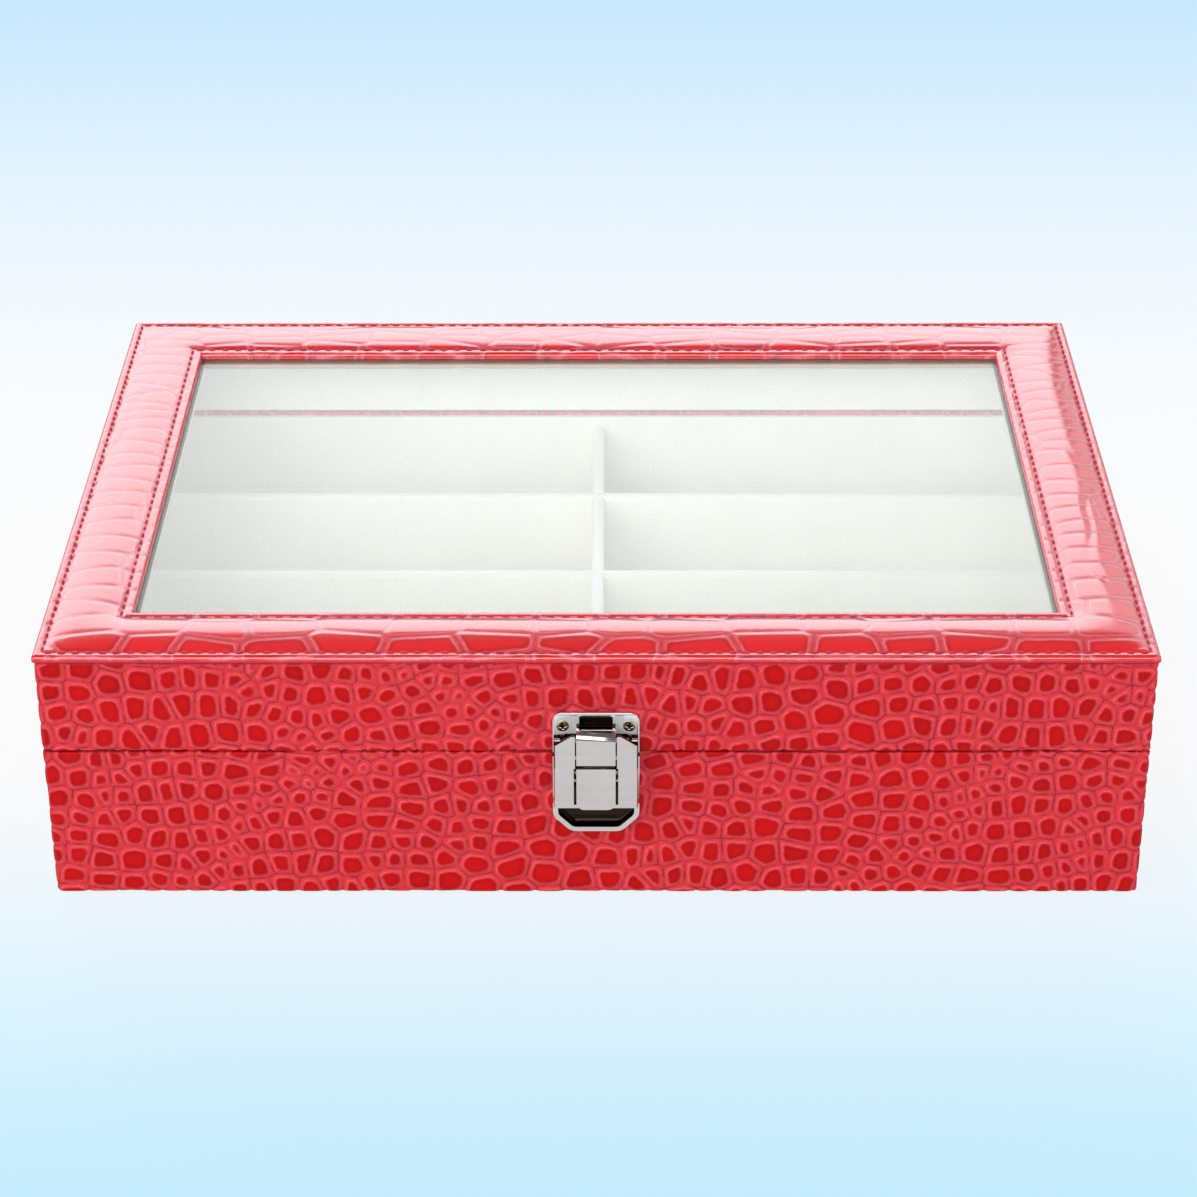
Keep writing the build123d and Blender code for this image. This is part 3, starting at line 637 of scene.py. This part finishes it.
def box_share_group():
    """1 inside a box given by its corners in millimetres, and 0 outside it. The distance from
    the middle plane of the object stands for x, so that the box counts on both sides."""
    defaults = {"Place": ORIGIN, "Low": ORIGIN, "High": ORIGIN}
    tree, given, result = group("box_share", defaults, ("Share",))
    values = {"Vector": given["Place"], "Scale": 1000.0}
    corners = (add_node("VectorMath", values, operation="SCALE")[0], given["Low"], given["High"])
    place, low, high = (add_node("SeparateXYZ", {0: corner}) for corner in corners)
    inside = 1e3
    for axis, here in enumerate((maths("ABSOLUTE", place[0]), place[1], place[2])):
        above = maths("SUBTRACT", here, low[axis])
        below = maths("SUBTRACT", high[axis], here)
        inside = maths("MINIMUM", inside, maths("MINIMUM", above, below))
    connect(result, Share=maths("DIVIDE", inside, 0.2, clamp=True))
    return tree


box_share = box_share_group()


def inside_box(tree, low, high):
    """1 inside a box of the object, 0 outside it."""
    return use_group(box_share, Place=object_place(tree), Low=low, High=high)["Share"]


def tinted(made, share, colour):
    """The same material with another colour where the share is 1."""
    surface = made.node_tree.nodes["Principled BSDF"].inputs
    base = surface["Base Color"].links[0].from_socket
    connect(surface, Base_Color=blend_colour(share, base, colour))


def painted_shade_in_boxes(made, dark, *boxes):
    """The same material with painted shade, another colour, inside some boxes, each a low and a
    high corner.
    """
    for low, high in boxes:
        tinted(made, inside_box(made.node_tree, low, high), dark)
    return made


def satin(made, metal, low, high):
    """The same metal, brushed inside a box so that it scatters light more than it mirrors."""
    lost = maths("MULTIPLY", inside_box(made.node_tree, low, high), 1.0 - metal)
    surface = made.node_tree.nodes["Principled BSDF"].inputs
    connect(surface, Metallic=maths("SUBTRACT", 1.0, lost))


velvet = plain_material(
    "cream_velvet", 0.15, (0.91, 0.87, 0.79), (0.84, 0.79, 0.70), (0.8, 0.95), (1800, 45),
    Sheen_Weight=0.6, Sheen_Roughness=0.35, Specular_IOR_Level=0.2,
)
fibreboard = plain_material(
    "raw_fibreboard", 0.1, (0.42, 0.28, 0.16), (0.33, 0.21, 0.11), (0.75, 0.9), (900, 120),
    Specular_IOR_Level=0.25,
)
# Painted shade: near black on the board in the pocket behind the strike plate's slot.
painted_shade_in_boxes(fibreboard, (0.006, 0.006, 0.006, 1), ((-1.0, -125, 60.5), (5.3, -100, 64.5)))
beige_card = plain_material(
    "beige_card", 0.03, (0.55, 0.45, 0.36), (0.48, 0.39, 0.31), (0.7, 0.85), (1400, 150)
)
underside_flock = plain_material(
    "underside_flock", 0.1, (0.03, 0.03, 0.035), (0.055, 0.05, 0.055), (0.85, 0.95),
    (2200, 40), Sheen_Weight=0.3,
)
nickel_tints = (0.82, 0.79, 0.785), (0.75, 0.725, 0.72)
nickel_surface = (*nickel_tints, (0.12, 0.22), (500, 90), (0.15, 0.15, 1.0), 0.6)
painted_nickel_shade = (0.035, 0.022, 0.016, 1)
# Painted shadow: near black where the lever's wings shade the strike plate.
polished_nickel = painted_shade_in_boxes(
    plain_material("polished_nickel", 0.002, *nickel_surface, Metallic=1.0), painted_nickel_shade,
    ((5.4, -130, 50), (9.4, -110, 58.7)), ((9.0, -130, 50), (11.9, -110, 57.4)),
)
satin(polished_nickel, 0.25, (4.9, -130, 58.2), (12.2, -110, 64.8))
# Painted shade: near black behind the lever, in the gaps beside its middle panel and on the upper
# edges of its wings.
latch_nickel = painted_shade_in_boxes(
    plain_material("latch_nickel", 0.002, *nickel_surface, Metallic=1.0), painted_nickel_shade,
    ((-1.0, -120.8, 27.3), (11.7, -110, 63)), ((5.7, -124.7, 30), (6.9, -110, 63)),
    ((6.5, -124.7, 50.5), (13.2, -110, 63)),
)
hinge_nickel = plain_material(
    "hinge_nickel", 0.004, (0.72, 0.70, 0.66), (0.60, 0.58, 0.54), (0.22, 0.38), (600, 120),
    (1.0, 1.0, 0.12), Metallic=1.0,
)
brass = plain_material(
    "pale_brass", 0.003, (0.86, 0.76, 0.56), (0.78, 0.66, 0.44), (0.2, 0.35), (800, 300),
    Metallic=1.0,
)
pin_steel = plain_material(
    "drawn_steel", 0.003, (0.55, 0.55, 0.55), (0.45, 0.45, 0.46), (0.25, 0.4), (900, 200),
    (0.1, 1.0, 1.0), Metallic=1.0,
)
thread = plain_material(
    "red_thread", 0.05, (0.62, 0.045, 0.08), (0.46, 0.025, 0.05), (0.45, 0.6), (2500, 90)
)

# Brass, darker inside the crossed recesses of the screws
recessed_brass = brass.copy()
recessed_brass.name = "recessed_brass"
recess_share = ramp(mesh_value(recessed_brass.node_tree, "recess"), 0.15, 0.6)
tinted(recessed_brass, recess_share, (0.06, 0.025, 0.008, 1))


def clear_glass():
    """Window glass; shadow rays pass straight through, so the inside is lit."""
    values = {"Base_Color": (0.97, 0.99, 0.985, 1), "Roughness": 0.0, "IOR": 1.45}
    made, tree, surface = material("clear_glass", Transmission_Weight=1.0, **values)
    smear = grain(object_place(tree), 30.0)
    connect(surface, Roughness=ramp(smear, 0.45, 0.8, 0.0, 0.035))
    through = add_node("BsdfTransparent", {0: (0.96, 0.98, 0.975, 1)}, tree)[0]
    overlaid(tree, add_node("LightPath", {}, tree)["Is Shadow Ray"], through)
    return made


glass = clear_glass()


# Leather of the base and of the lid
perimeter = 2 * (box_length + box_depth) - (8 - 2 * np.pi) * corner_radius


def wall_skin(seed, pitch_along, pitch_up, jitter, largest):
    """A hide that closes on itself round the box, with its largest scales at one row."""
    columns, rows = int(round(perimeter / pitch_along)), 24
    waves = [(5, 1, 0.5, 0.45), (9, -2, 0.35, 0.3), (17, 3, 0.25, 0.2)]
    waves.append((0, 1, 0.0, 1.2, -2 * np.pi * largest / rows))
    return hide(seed, columns, rows, (perimeter / columns, pitch_up), (0.0, 0.0), jitter, waves)


def wrap_profile(edge, inwards, far_side):
    """Closed profile of leather that is turned in over an edge, with the corners of its far
    side given. inwards is 1 where the wall stands over the edge and -1 where it hangs."""
    inner, over, turned = leather + wall_board, edge + inwards * leather, edge + inwards * turn_down
    near_side = [(inner + leather, turned, 0), (inner + leather, edge, 0.7), (0.0, edge, 0.7)]
    return near_side + far_side + [(leather, over, 0), (inner, over, 0), (inner, turned, 0)]


base_far_side = [
    (0.0, underside, 0.8), (leather + turn_in, underside, 0), (leather + turn_in, floor_bottom, 0),
    (leather, floor_bottom, 0),
]
lid_far_side = [
    (0.0, top_bottom - 0.8, 0), (0.0, top_bottom, 0), (leather, top_bottom, 0),
    (leather, slot_high, 0), (leather, slot_low, 0),
]
leather_walls(
    "base", wrap_profile(base_height, -1, base_far_side),
    [1.4, 0.8, 0.6, 2.5, 2.0, 12.0, 20.0, 8.0, 8.0, 2.0],
    lambda rows: rows[:, 1] > base_height - 1.0,
    lambda rows: (rows[:, 1] < underside + 0.01) & (rows[:, 0] > 0.8),
    wall_skin(11, 7.6, 6.2, 0.5, 10),
)
leather_walls(
    "lid", wrap_profile(lid_bottom, 1, lid_far_side),
    [1.4, 0.8, 0.6, 0.9, 20.0, 20.0, 20.0, 20.0, 8.0, 8.0, 2.0],
    lambda rows: rows[:, 1] < lid_bottom + 1.0,
    lambda rows: (rows[:, 0] < 0.01) & (rows[:, 1] > top_bottom - 0.01),
    wall_skin(23, 7.2, 5.9, 0.55, 4),
)


# Padded top
stitch_rows = (
    ("outer", top_length / 2 - 2.8, top_depth / 2 - 2.8, (81, 57)),
    ("inner", top_length / 2 - bar_width + 3.5, top_depth / 2 - bar_width + 3.5, (63, 42)),
)
belly_waves = [(0, 1, 0.0, 2.45, 0.0), (3, 5, 0.05, 0.12), (5, -7, 0.06, 0.12)]
top_skin = hide(5, 16, 57, (20.3, 8.3), (-162.4, -117.0), (0.4, 0.3), belly_waves, (0.58, 1.0))


def seam_share(x, y):
    """1 on the rectangles of stitching, falling off with the squared distance from them."""
    share = 0.0
    for _, half_x, half_y, _ in stitch_rows:
        beside_x, beside_y = half_x - np.abs(x), half_y - np.abs(y)
        outside = np.hypot(np.maximum(-beside_x, 0), np.maximum(-beside_y, 0))
        distance = np.where(outside > 0, outside, np.minimum(beside_x, beside_y))
        share = share + np.exp(-((distance / 0.7) ** 2))
    return np.minimum(share, 1.0)


def folds(x, y):
    """Depth of the soft folds along the side bars: hollows round a waving line, fading in and
    out along it."""
    deepest, half_width = 0.15, 1.5
    side = np.where(x < 0, 0.0, 2.1)
    line = top_length / 2 - 10.5 + 2.6 * np.sin(y / 15.0 + side) + 1.2 * np.sin(y / 6.3 + side)
    strength = np.clip(np.sin(y / 31.0 + 0.6 + side) + 0.35, 0, 1)
    strength = strength * np.clip((top_depth / 2 - 24 - np.abs(y)) / 20, 0, 1)
    return deepest * strength * np.exp(-(((np.abs(x) - line) / half_width) ** 2))


def padded_height(x, y):
    """Height of the padded top over its flat edge: rise * (4ab / (a + b)^2)^0.8, where a and b
    are the distances from the outer edge and from the window, less the flat shoulder, both in
    parts of the crown's width. It is flatter at the back, and seams and folds are taken off."""
    out_x, out_y = top_length / 2 - np.abs(x), top_depth / 2 - np.abs(y)
    soft, seam_depth = 4.0, 0.28
    outer = -soft * np.log(np.exp(-out_x / soft) + np.exp(-out_y / soft))
    outer = np.minimum(np.minimum(out_x, out_y), outer + 0.4)
    in_x = np.maximum(np.abs(x) - top_length / 2 + bar_width, 0)
    in_y = np.maximum(np.abs(y) - top_depth / 2 + bar_width, 0)
    inner = np.hypot(in_x, in_y)
    width = bar_width - 2 * shoulder
    a = np.maximum(outer - shoulder, 0) / width
    b = np.maximum(inner - shoulder, 0) / width
    flatter = 1 - 0.52 * np.clip((y - 60) / 45, 0, 1)
    crown = crown_rise * flatter * (4 * a * b / np.maximum(a + b, 1e-6) ** 2) ** 0.8
    return crown - seam_depth * seam_share(x, y) - folds(x, y)


def padded_top():
    """The leather pad round the window. Rows run across the bar, from under its outer edge,
    over the crown, to under its inner edge, and columns run round the box."""
    rim_low, rim_high, bend, turned = top_bottom, edge_height, 1.3, 9.0
    half_length, half_depth, radius = top_length / 2, top_depth / 2, 1.2
    across = sampled([bend, bar_width - bend], 0.62)
    arc = np.radians(np.linspace(0, 90, 6))
    outer_bend = np.stack([bend - bend * np.cos(arc), rim_high - bend + bend * np.sin(arc)], -1)
    inner_bend = np.stack([bar_width - outer_bend[::-1, 0], outer_bend[::-1, 1]], -1)
    rise = sampled([rim_low, rim_low + 0.45, rim_high - bend], 0.4)
    back = bar_width - turned
    rows = np.concatenate(
        [
            [(turned, rim_low + leather), (turned, rim_low), (turned / 2, rim_low)],
            [(0.6, rim_low), (0.22, rim_low + 0.12)],
            np.stack([np.zeros_like(rise), rise], -1)[1:-1], outer_bend[:-1],
            np.stack([across, np.full_like(across, rim_high)], -1), inner_bend[1:],
            np.stack([np.full_like(rise, bar_width), rise[::-1]], -1)[1:],
            [(bar_width - turned / 2, rim_low), (back, rim_low), (back, rim_low + leather)],
        ]
    )
    sides = [side_columns(half_length, half_depth, radius, side, 0.86) for side in range(4)]
    spots = np.concatenate([spot[:-1] for spot, _, _ in sides])
    angles = np.concatenate([angle[:-1] for _, angle, _ in sides])
    inward, level = rows[:, :1], rows[:, 1:]
    x, y = carried(spots, angles, inward, half_length, half_depth, radius, 0.2)
    on_top = level > rim_high - bend
    flat = np.stack([x, y], -1).astype(np.float32).reshape(-1, 2)
    edge, rounded, tone = scale_relief(flat, top_skin)
    relief = relief_height(edge, rounded * 1.2, 0.07, 0.05).reshape(x.shape)
    z = level + np.where(on_top, padded_height(x, y) + relief, 0)
    made, faces = piece(
        "padded_top", np.stack([x, y, z], -1),
        [grid_quads(*x.shape, close_rows=True, close_columns=True)], top_leather, "lid",
        ("top_leather_cover", "top_foam"),
    )
    corners = flat[face_loops(faces)[0]].reshape(-1, 4, 2)
    keep_scales(made, crease_lines(corners.mean(1), corners, top_skin), rounded, tone)
    # Painted shadow: the lowest rows of the pad's outer side are marked to be coloured deep red
    # without coat.
    under = 0.9 * np.clip((rim_low + 1.5 - z) / 0.6, 0, 1) * (inward < bend)
    point_attribute(made, "seam_and_painted_shadow", np.where(on_top, seam_share(x, y) * 0.5, under))


padded_top()


def stitches(name, half_x, half_y, counts):
    """Sewn thread round the window: each stitch is a round tube whose middle rises in a half
    sine over the leather and whose ends go down into it."""
    length, radius, sides, rings = 2.9, 0.36, 6, 7
    pitch_x, pitch_y = 2 * half_x / counts[0], 2 * half_y / counts[1]
    along_x = -half_x + (np.arange(counts[0]) + 0.5) * pitch_x
    along_y = -half_y + (np.arange(counts[1]) + 0.5) * pitch_y
    runs = [(along_x, along_x * 0 + edge, along_x * 0) for edge in (-half_y, half_y)]
    runs += [(along_y * 0 + edge, along_y, along_y * 0 + 1) for edge in (-half_x, half_x)]
    places = np.concatenate([np.stack(run, -1) for run in runs])
    share = np.linspace(0, 1, rings)
    around = np.linspace(0, 2 * np.pi, sides, endpoint=False)
    swell = radius * np.sqrt(np.clip(1 - (2 * share - 1) ** 4, 0.08, 1))
    rise = -0.42 + 0.6 * np.sin(np.pi * share) ** 0.6
    beside = swell[:, None] * np.cos(around)
    up = rise[:, None] + swell[:, None] * np.sin(around)
    lead = np.broadcast_to((share[:, None] - 0.5) * length, beside.shape)
    turned = places[:, 2][:, None, None] > 0
    x = places[:, 0][:, None, None] + np.where(turned, beside, lead)
    y = places[:, 1][:, None, None] + np.where(turned, lead, beside)
    ground = edge_height + padded_height(places[:, 0], places[:, 1])
    z = ground[:, None, None] + 0.1 + up
    per, ring = rings * sides, np.arange(sides)
    first = np.arange(len(places))[:, None, None] * per
    groups = []
    for faces in (
        grid_quads(rings, sides, close_columns=True), np.stack([ring[::-1], ring + per - sides]),
    ):
        faces = first + faces
        groups.append(np.where(turned, faces[..., ::-1], faces).reshape(-1, faces.shape[-1]))
    piece(name, np.stack([x, y, z], -1), groups, thread, "lid")


for row_name, row_x, row_y, row_counts in stitch_rows:
    stitches(f"{row_name}_stitching", row_x, row_y, row_counts)


# Padded floor of the compartments
def floor_cushions():
    """Velvet pad on the floor: a low cushion in each compartment, whose rise is
    (1 - u^6)(1 - v^6) of the places u and v across it, flat under the dividers."""
    half_x, half_y, low, level = inner_length / 2, inner_depth / 2, 5.4, 7.7
    x, y = np.meshgrid(np.linspace(-half_x, half_x, 181), np.linspace(-half_y, half_y, 133))
    column_pitch, row_pitch = (inner_length + divider) / 2, (inner_depth + divider) / 4
    across = np.mod(x + half_x + divider / 2, column_pitch) / column_pitch * 2 - 1
    along = np.mod(y + half_y + divider / 2, row_pitch) / row_pitch * 2 - 1
    u = np.clip(np.abs(across) * column_pitch / (column_pitch - divider), 0, 1)
    v = np.clip(np.abs(along) * row_pitch / (row_pitch - divider), 0, 1)
    cushion = (1 - u**6) * (1 - v**6)
    top = level + 1.6 * cushion
    random = np.random.default_rng(3)
    for _ in range(5):
        turn, phase = random.random(2) * 0.12 + 0.02, random.random() * 6
        top += 0.05 * np.sin(turn[0] * x + turn[1] * y * 2 + phase) * cushion
    upper = np.stack([x, y, top], -1).reshape(-1, 3)
    lower = np.stack([x, y, np.full_like(x, low)], -1).reshape(-1, 3)
    rows, columns = x.shape
    count = rows * columns
    quads = grid_quads(rows, columns)
    row, column = np.arange(rows - 1), np.arange(columns - 1)
    right, left = row * columns + columns - 1, (rows - 1 - row) * columns
    around = np.concatenate([column, right, count - 1 - column, left])
    after = np.roll(around, -1)
    sides = np.stack([around, around + count, after + count, after], -1)
    faces = [quads, quads[:, ::-1] + count, sides]
    points = np.concatenate([upper, lower])
    made, _ = piece("floor_cushions", points, faces, velvet, "base", ("floor_lining",))


floor_cushions()


# Screws with crossed recesses
def crossed_screws(name, places, facing, rim, under, body, replaced):
    """Crossed screws. A head is a low dome, 0.12 (1 - r^2) above its rim, with a recess whose
    depth falls smoothly past the arms' half width and length; below the rim come the head's
    underside, a cone or a step as deep as given, and the shank."""
    head, shank, length, dome, recess_depth, around = 1.9, 0.8, 5.6, 0.12, 0.7, 48
    turn = np.linspace(0, 2 * np.pi, around, endpoint=False)
    ring = np.linspace(0.08, head, 15)
    across, up = ring[:, None] * np.cos(turn), ring[:, None] * np.sin(turn)

    def arm(along, beside):
        """1 inside one arm of the cross, 0 outside it."""
        inside = np.clip((1.2 - np.abs(along)) / 0.25, 0, 1)
        return inside * np.clip((0.4 - np.abs(beside)) / 0.18, 0, 1)

    cross = np.maximum(arm(across, up), arm(up, across))
    recess = np.concatenate([cross, np.zeros((3, around))]).ravel()
    out = rim + dome * (1 - (ring / head) ** 2)[:, None] - recess_depth * cross
    below = np.array([(head, under[0]), (shank, under[1]), (shank, -length)])
    across = np.concatenate([across, below[:, :1] * np.cos(turn)])
    up = np.concatenate([up, below[:, :1] * np.sin(turn)])
    out = np.concatenate([out, np.broadcast_to(below[:, 1:], (3, around))])
    groups = []
    for x, surface, z, twist in places:
        turned_x = across * np.cos(twist) - up * np.sin(twist)
        turned_z = across * np.sin(twist) + up * np.cos(twist)
        spot = [x + turned_x, surface + facing * out, z + turned_z]
        groups.append(np.stack(spot, -1).reshape(-1, 3))
    per, column = out.size, np.arange(around)
    first = (np.arange(len(places)) * per)[:, None, None]
    quads = first + grid_quads(len(out), around, close_columns=True)
    ends = first + np.stack([column[::-1], column + per - around])
    made, _ = piece(
        name, np.concatenate(groups), [quads.reshape(-1, 4), ends.reshape(-1, around)],
        recessed_brass, body, replaced,
    )
    point_attribute(made, "recess", np.tile(recess, len(places)))


front_plate, back_plate = -box_depth / 2 - 1.2, box_depth / 2 + 1.0
hinge_axis, hinge, apart = 51.3, 105.0, 9.0
screw_columns = (-hinge - apart, -hinge + apart, hinge - apart, hinge + apart)
strike_places = [(-9.9, front_plate, 61.2, 0.1), (9.9, front_plate, 61.2, -0.12)]
latch_places = [(-6.2, front_plate, 43.5, 0.5), (6.2, front_plate, 43.5, 1.0)]
countersunk = (-0.12, -1.2)
crossed_screws(
    "strike_crossed_screws", strike_places, -1, 0.0, countersunk, "lid", ("strike_screws",)
)
crossed_screws(
    "latch_crossed_screws", latch_places, -1, 0.0, countersunk, "base", ("latch_base_screws",)
)
for leaf_body, level in (("base", hinge_axis - apart), ("lid", hinge_axis + apart)):
    hinge_places = [(x, back_plate, level, 0.3 * n) for n, x in enumerate(screw_columns)]
    crossed_screws(
        f"hinge_crossed_screws_{leaf_body}", hinge_places, 1, 0.58, (0.0, 0.0), leaf_body,
        (f"hinge_{leaf_body}_screws",),
    )


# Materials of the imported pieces
finishes = {
    velvet: ["base_lining_", "lid_lining_", "centre_divider", "cross_divider_", "floor_lining"],
    fibreboard: ["_board"], beige_card: ["glass_retainer"], glass: ["glass_pane"],
    underside_flock: ["underside_sheet"], polished_nickel: ["strike_plate"],
    latch_nickel: ["latch_base_plate", "latch_lever", "latch_hook"], hinge_nickel: ["_leaf"],
    brass: ["_screws"], pin_steel: ["_pin"],
}


def finish_of(name):
    """The first finish whose words are in the node's name."""
    for finish, words in finishes.items():
        if any(word in name for word in words):
            return finish
    return wall_leather


for node_name, node in nodes.items():
    node.data.materials.clear()
    node.data.materials.append(finish_of(node_name))


def eased(node_name, width, body):
    """A copy of an imported metal piece with its sharp edges eased, so that they catch light."""
    mesh = nodes[node_name].data.copy()
    mesh.name = f"{node_name}_eased"
    work = bmesh.new()
    work.from_mesh(mesh)
    bmesh.ops.remove_doubles(work, verts=work.verts, dist=1e-6)
    flat_enough = math.radians(1.5)
    bmesh.ops.dissolve_limit(work, angle_limit=flat_enough, verts=work.verts, edges=work.edges)
    work.to_mesh(mesh)
    work.free()
    mesh.polygons.foreach_set("use_smooth", np.ones(len(mesh.polygons), bool))
    made = placed(mesh.name, mesh)
    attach(made, body)
    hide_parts(node_name)
    edge = made.modifiers.new("eased_edges", "BEVEL")
    edge.width = width * MM
    edge.segments = 2
    edge.limit_method = "ANGLE"
    edge.angle_limit = math.radians(28)
    edge.harden_normals = True


for metal_body, metal_names in frame["record"]["behaviour"]["bodies"].items():
    for metal_name in metal_names:
        if finish_of(metal_name) in (polished_nickel, latch_nickel, hinge_nickel):
            eased(metal_name, 0.22, metal_body)


# Stage, light and camera
def floor_sheet():
    """A wide pale floor. Camera, mirror and glass rays see it near white, with its shadows."""
    values = {"Base_Color": (0.86, 0.90, 0.94, 1), "Roughness": 0.9, "Specular_IOR_Level": 0.1}
    made, tree, _ = material("pale_floor", **values)
    light = add_node("LightPath", {}, tree)
    seen = maths("MAXIMUM", light["Is Camera Ray"], light["Is Glossy Ray"])
    seen = maths("MAXIMUM", seen, light["Is Transmission Ray"])
    along = add_node("SeparateXYZ", {0: object_place(tree)})[1]
    white, grey = (1.0, 1.0, 1.0, 1), (0.74, 0.735, 0.73, 1)
    far_blue, near_blue = (0.47, 0.765, 1.0, 1), (0.51, 0.84, 1.0, 1)
    paper = blend_colour(ramp(along, 0.1, 0.9), white, far_blue)
    paper = blend_colour(ramp(along, -0.02, -0.29), paper, near_blue)
    backdrop = blend_colour(light["Is Camera Ray"], grey, paper)
    glow = add_node("Emission", {0: backdrop, 1: 1.0})[0]
    overlaid(tree, maths("MULTIPLY", seen, 0.88), glow)
    half, below = 6.0, -0.0002
    corners = [(-half, -half), (half, -half), (half, half), (-half, half)]
    mesh = bpy.data.meshes.new("studio_floor")
    mesh.from_pydata([(x, y, below) for x, y in corners], [], [(0, 1, 2, 3)])
    mesh.materials.append(made)
    placed("studio_floor", mesh)


floor_sheet()


def soft_box(name, place, target_height, width, height, watts, colour=(1.0, 1.0, 1.0)):
    """A rectangular lamp at a place, turned to face a height over the frame's origin."""
    lamp = bpy.data.lights.new(name, "AREA")
    lamp.shape = "RECTANGLE"
    lamp.size, lamp.size_y = width, height
    lamp.energy = watts
    lamp.color = colour
    made = placed(name, lamp)
    made.location = place
    ahead = Vector((0.0, 0.0, target_height)) - Vector(place)
    made.rotation_euler = ahead.to_track_quat("-Z", "Y").to_euler()


rear_tint = (0.88, 0.95, 1.0)
soft_box("rear_soft_box", (-0.45, 2.1, 0.98), 0.08, 2.3, 1.15, 22.4, rear_tint)
soft_box("rear_right_soft_box", (1.15, 1.85, 0.98), 0.08, 1.0, 1.15, 4.0, rear_tint)
soft_box("front_soft_box", (-0.6, -1.6, 1.25), 0.04, 2.6, 1.3, 28.0)
soft_box("right_soft_box", (1.9, -0.4, 0.9), 0.04, 0.8, 1.2, 9.0)
soft_box("left_soft_box", (-1.7, -0.9, 0.5), 0.04, 0.5, 0.9, 5.0)


def studio_world():
    """Even surroundings, dim where polished things mirror them, as a studio's dark ceiling is;
    what the camera sees of them is the backdrop's own colour."""
    world = bpy.data.worlds.new("studio_world")
    world.use_nodes = True
    bpy.context.scene.world = world
    tree = world.node_tree
    light = add_node("LightPath", {}, tree)
    around = tree.nodes["Background"].inputs
    dim = blend_colour(light["Is Glossy Ray"], (0.41, 0.42, 0.44, 1), (0.12, 0.12, 0.13, 1))
    connect(around, Color=dim)
    around["Strength"].default_value = 1.0
    seen = add_node("Background", {0: (0.92, 0.965, 1.0, 1), 1: 1.0}, tree)[0]
    overlaid(tree, light["Is Camera Ray"], seen)


studio_world()


def photo_camera():
    """The camera of the photograph: its place, downward angle, small turn and small roll."""
    focal_pixels, photo_pixels, sensor = 3130.1, 1197, 36.0
    place = (0.00477, -0.90226, 0.55268)
    down, turn, roll = math.radians(29.73), math.radians(0.287), math.radians(-0.145)
    lens = bpy.data.cameras.new("photo_camera")
    lens.sensor_fit = "HORIZONTAL"
    lens.sensor_width = sensor
    lens.lens = sensor * focal_pixels / photo_pixels
    lens.clip_start, lens.clip_end = 0.01, 50.0
    made = placed("photo_camera", lens)
    made.matrix_world = Matrix.Translation(place)
    for angle, axis in ((turn, "Z"), (math.pi / 2 - down, "X"), (roll, "Z")):
        made.matrix_world = made.matrix_world @ Matrix.Rotation(angle, 4, axis)
    bpy.context.scene.camera = made


photo_camera()
bpy.context.scene.view_settings.view_transform = "Standard"
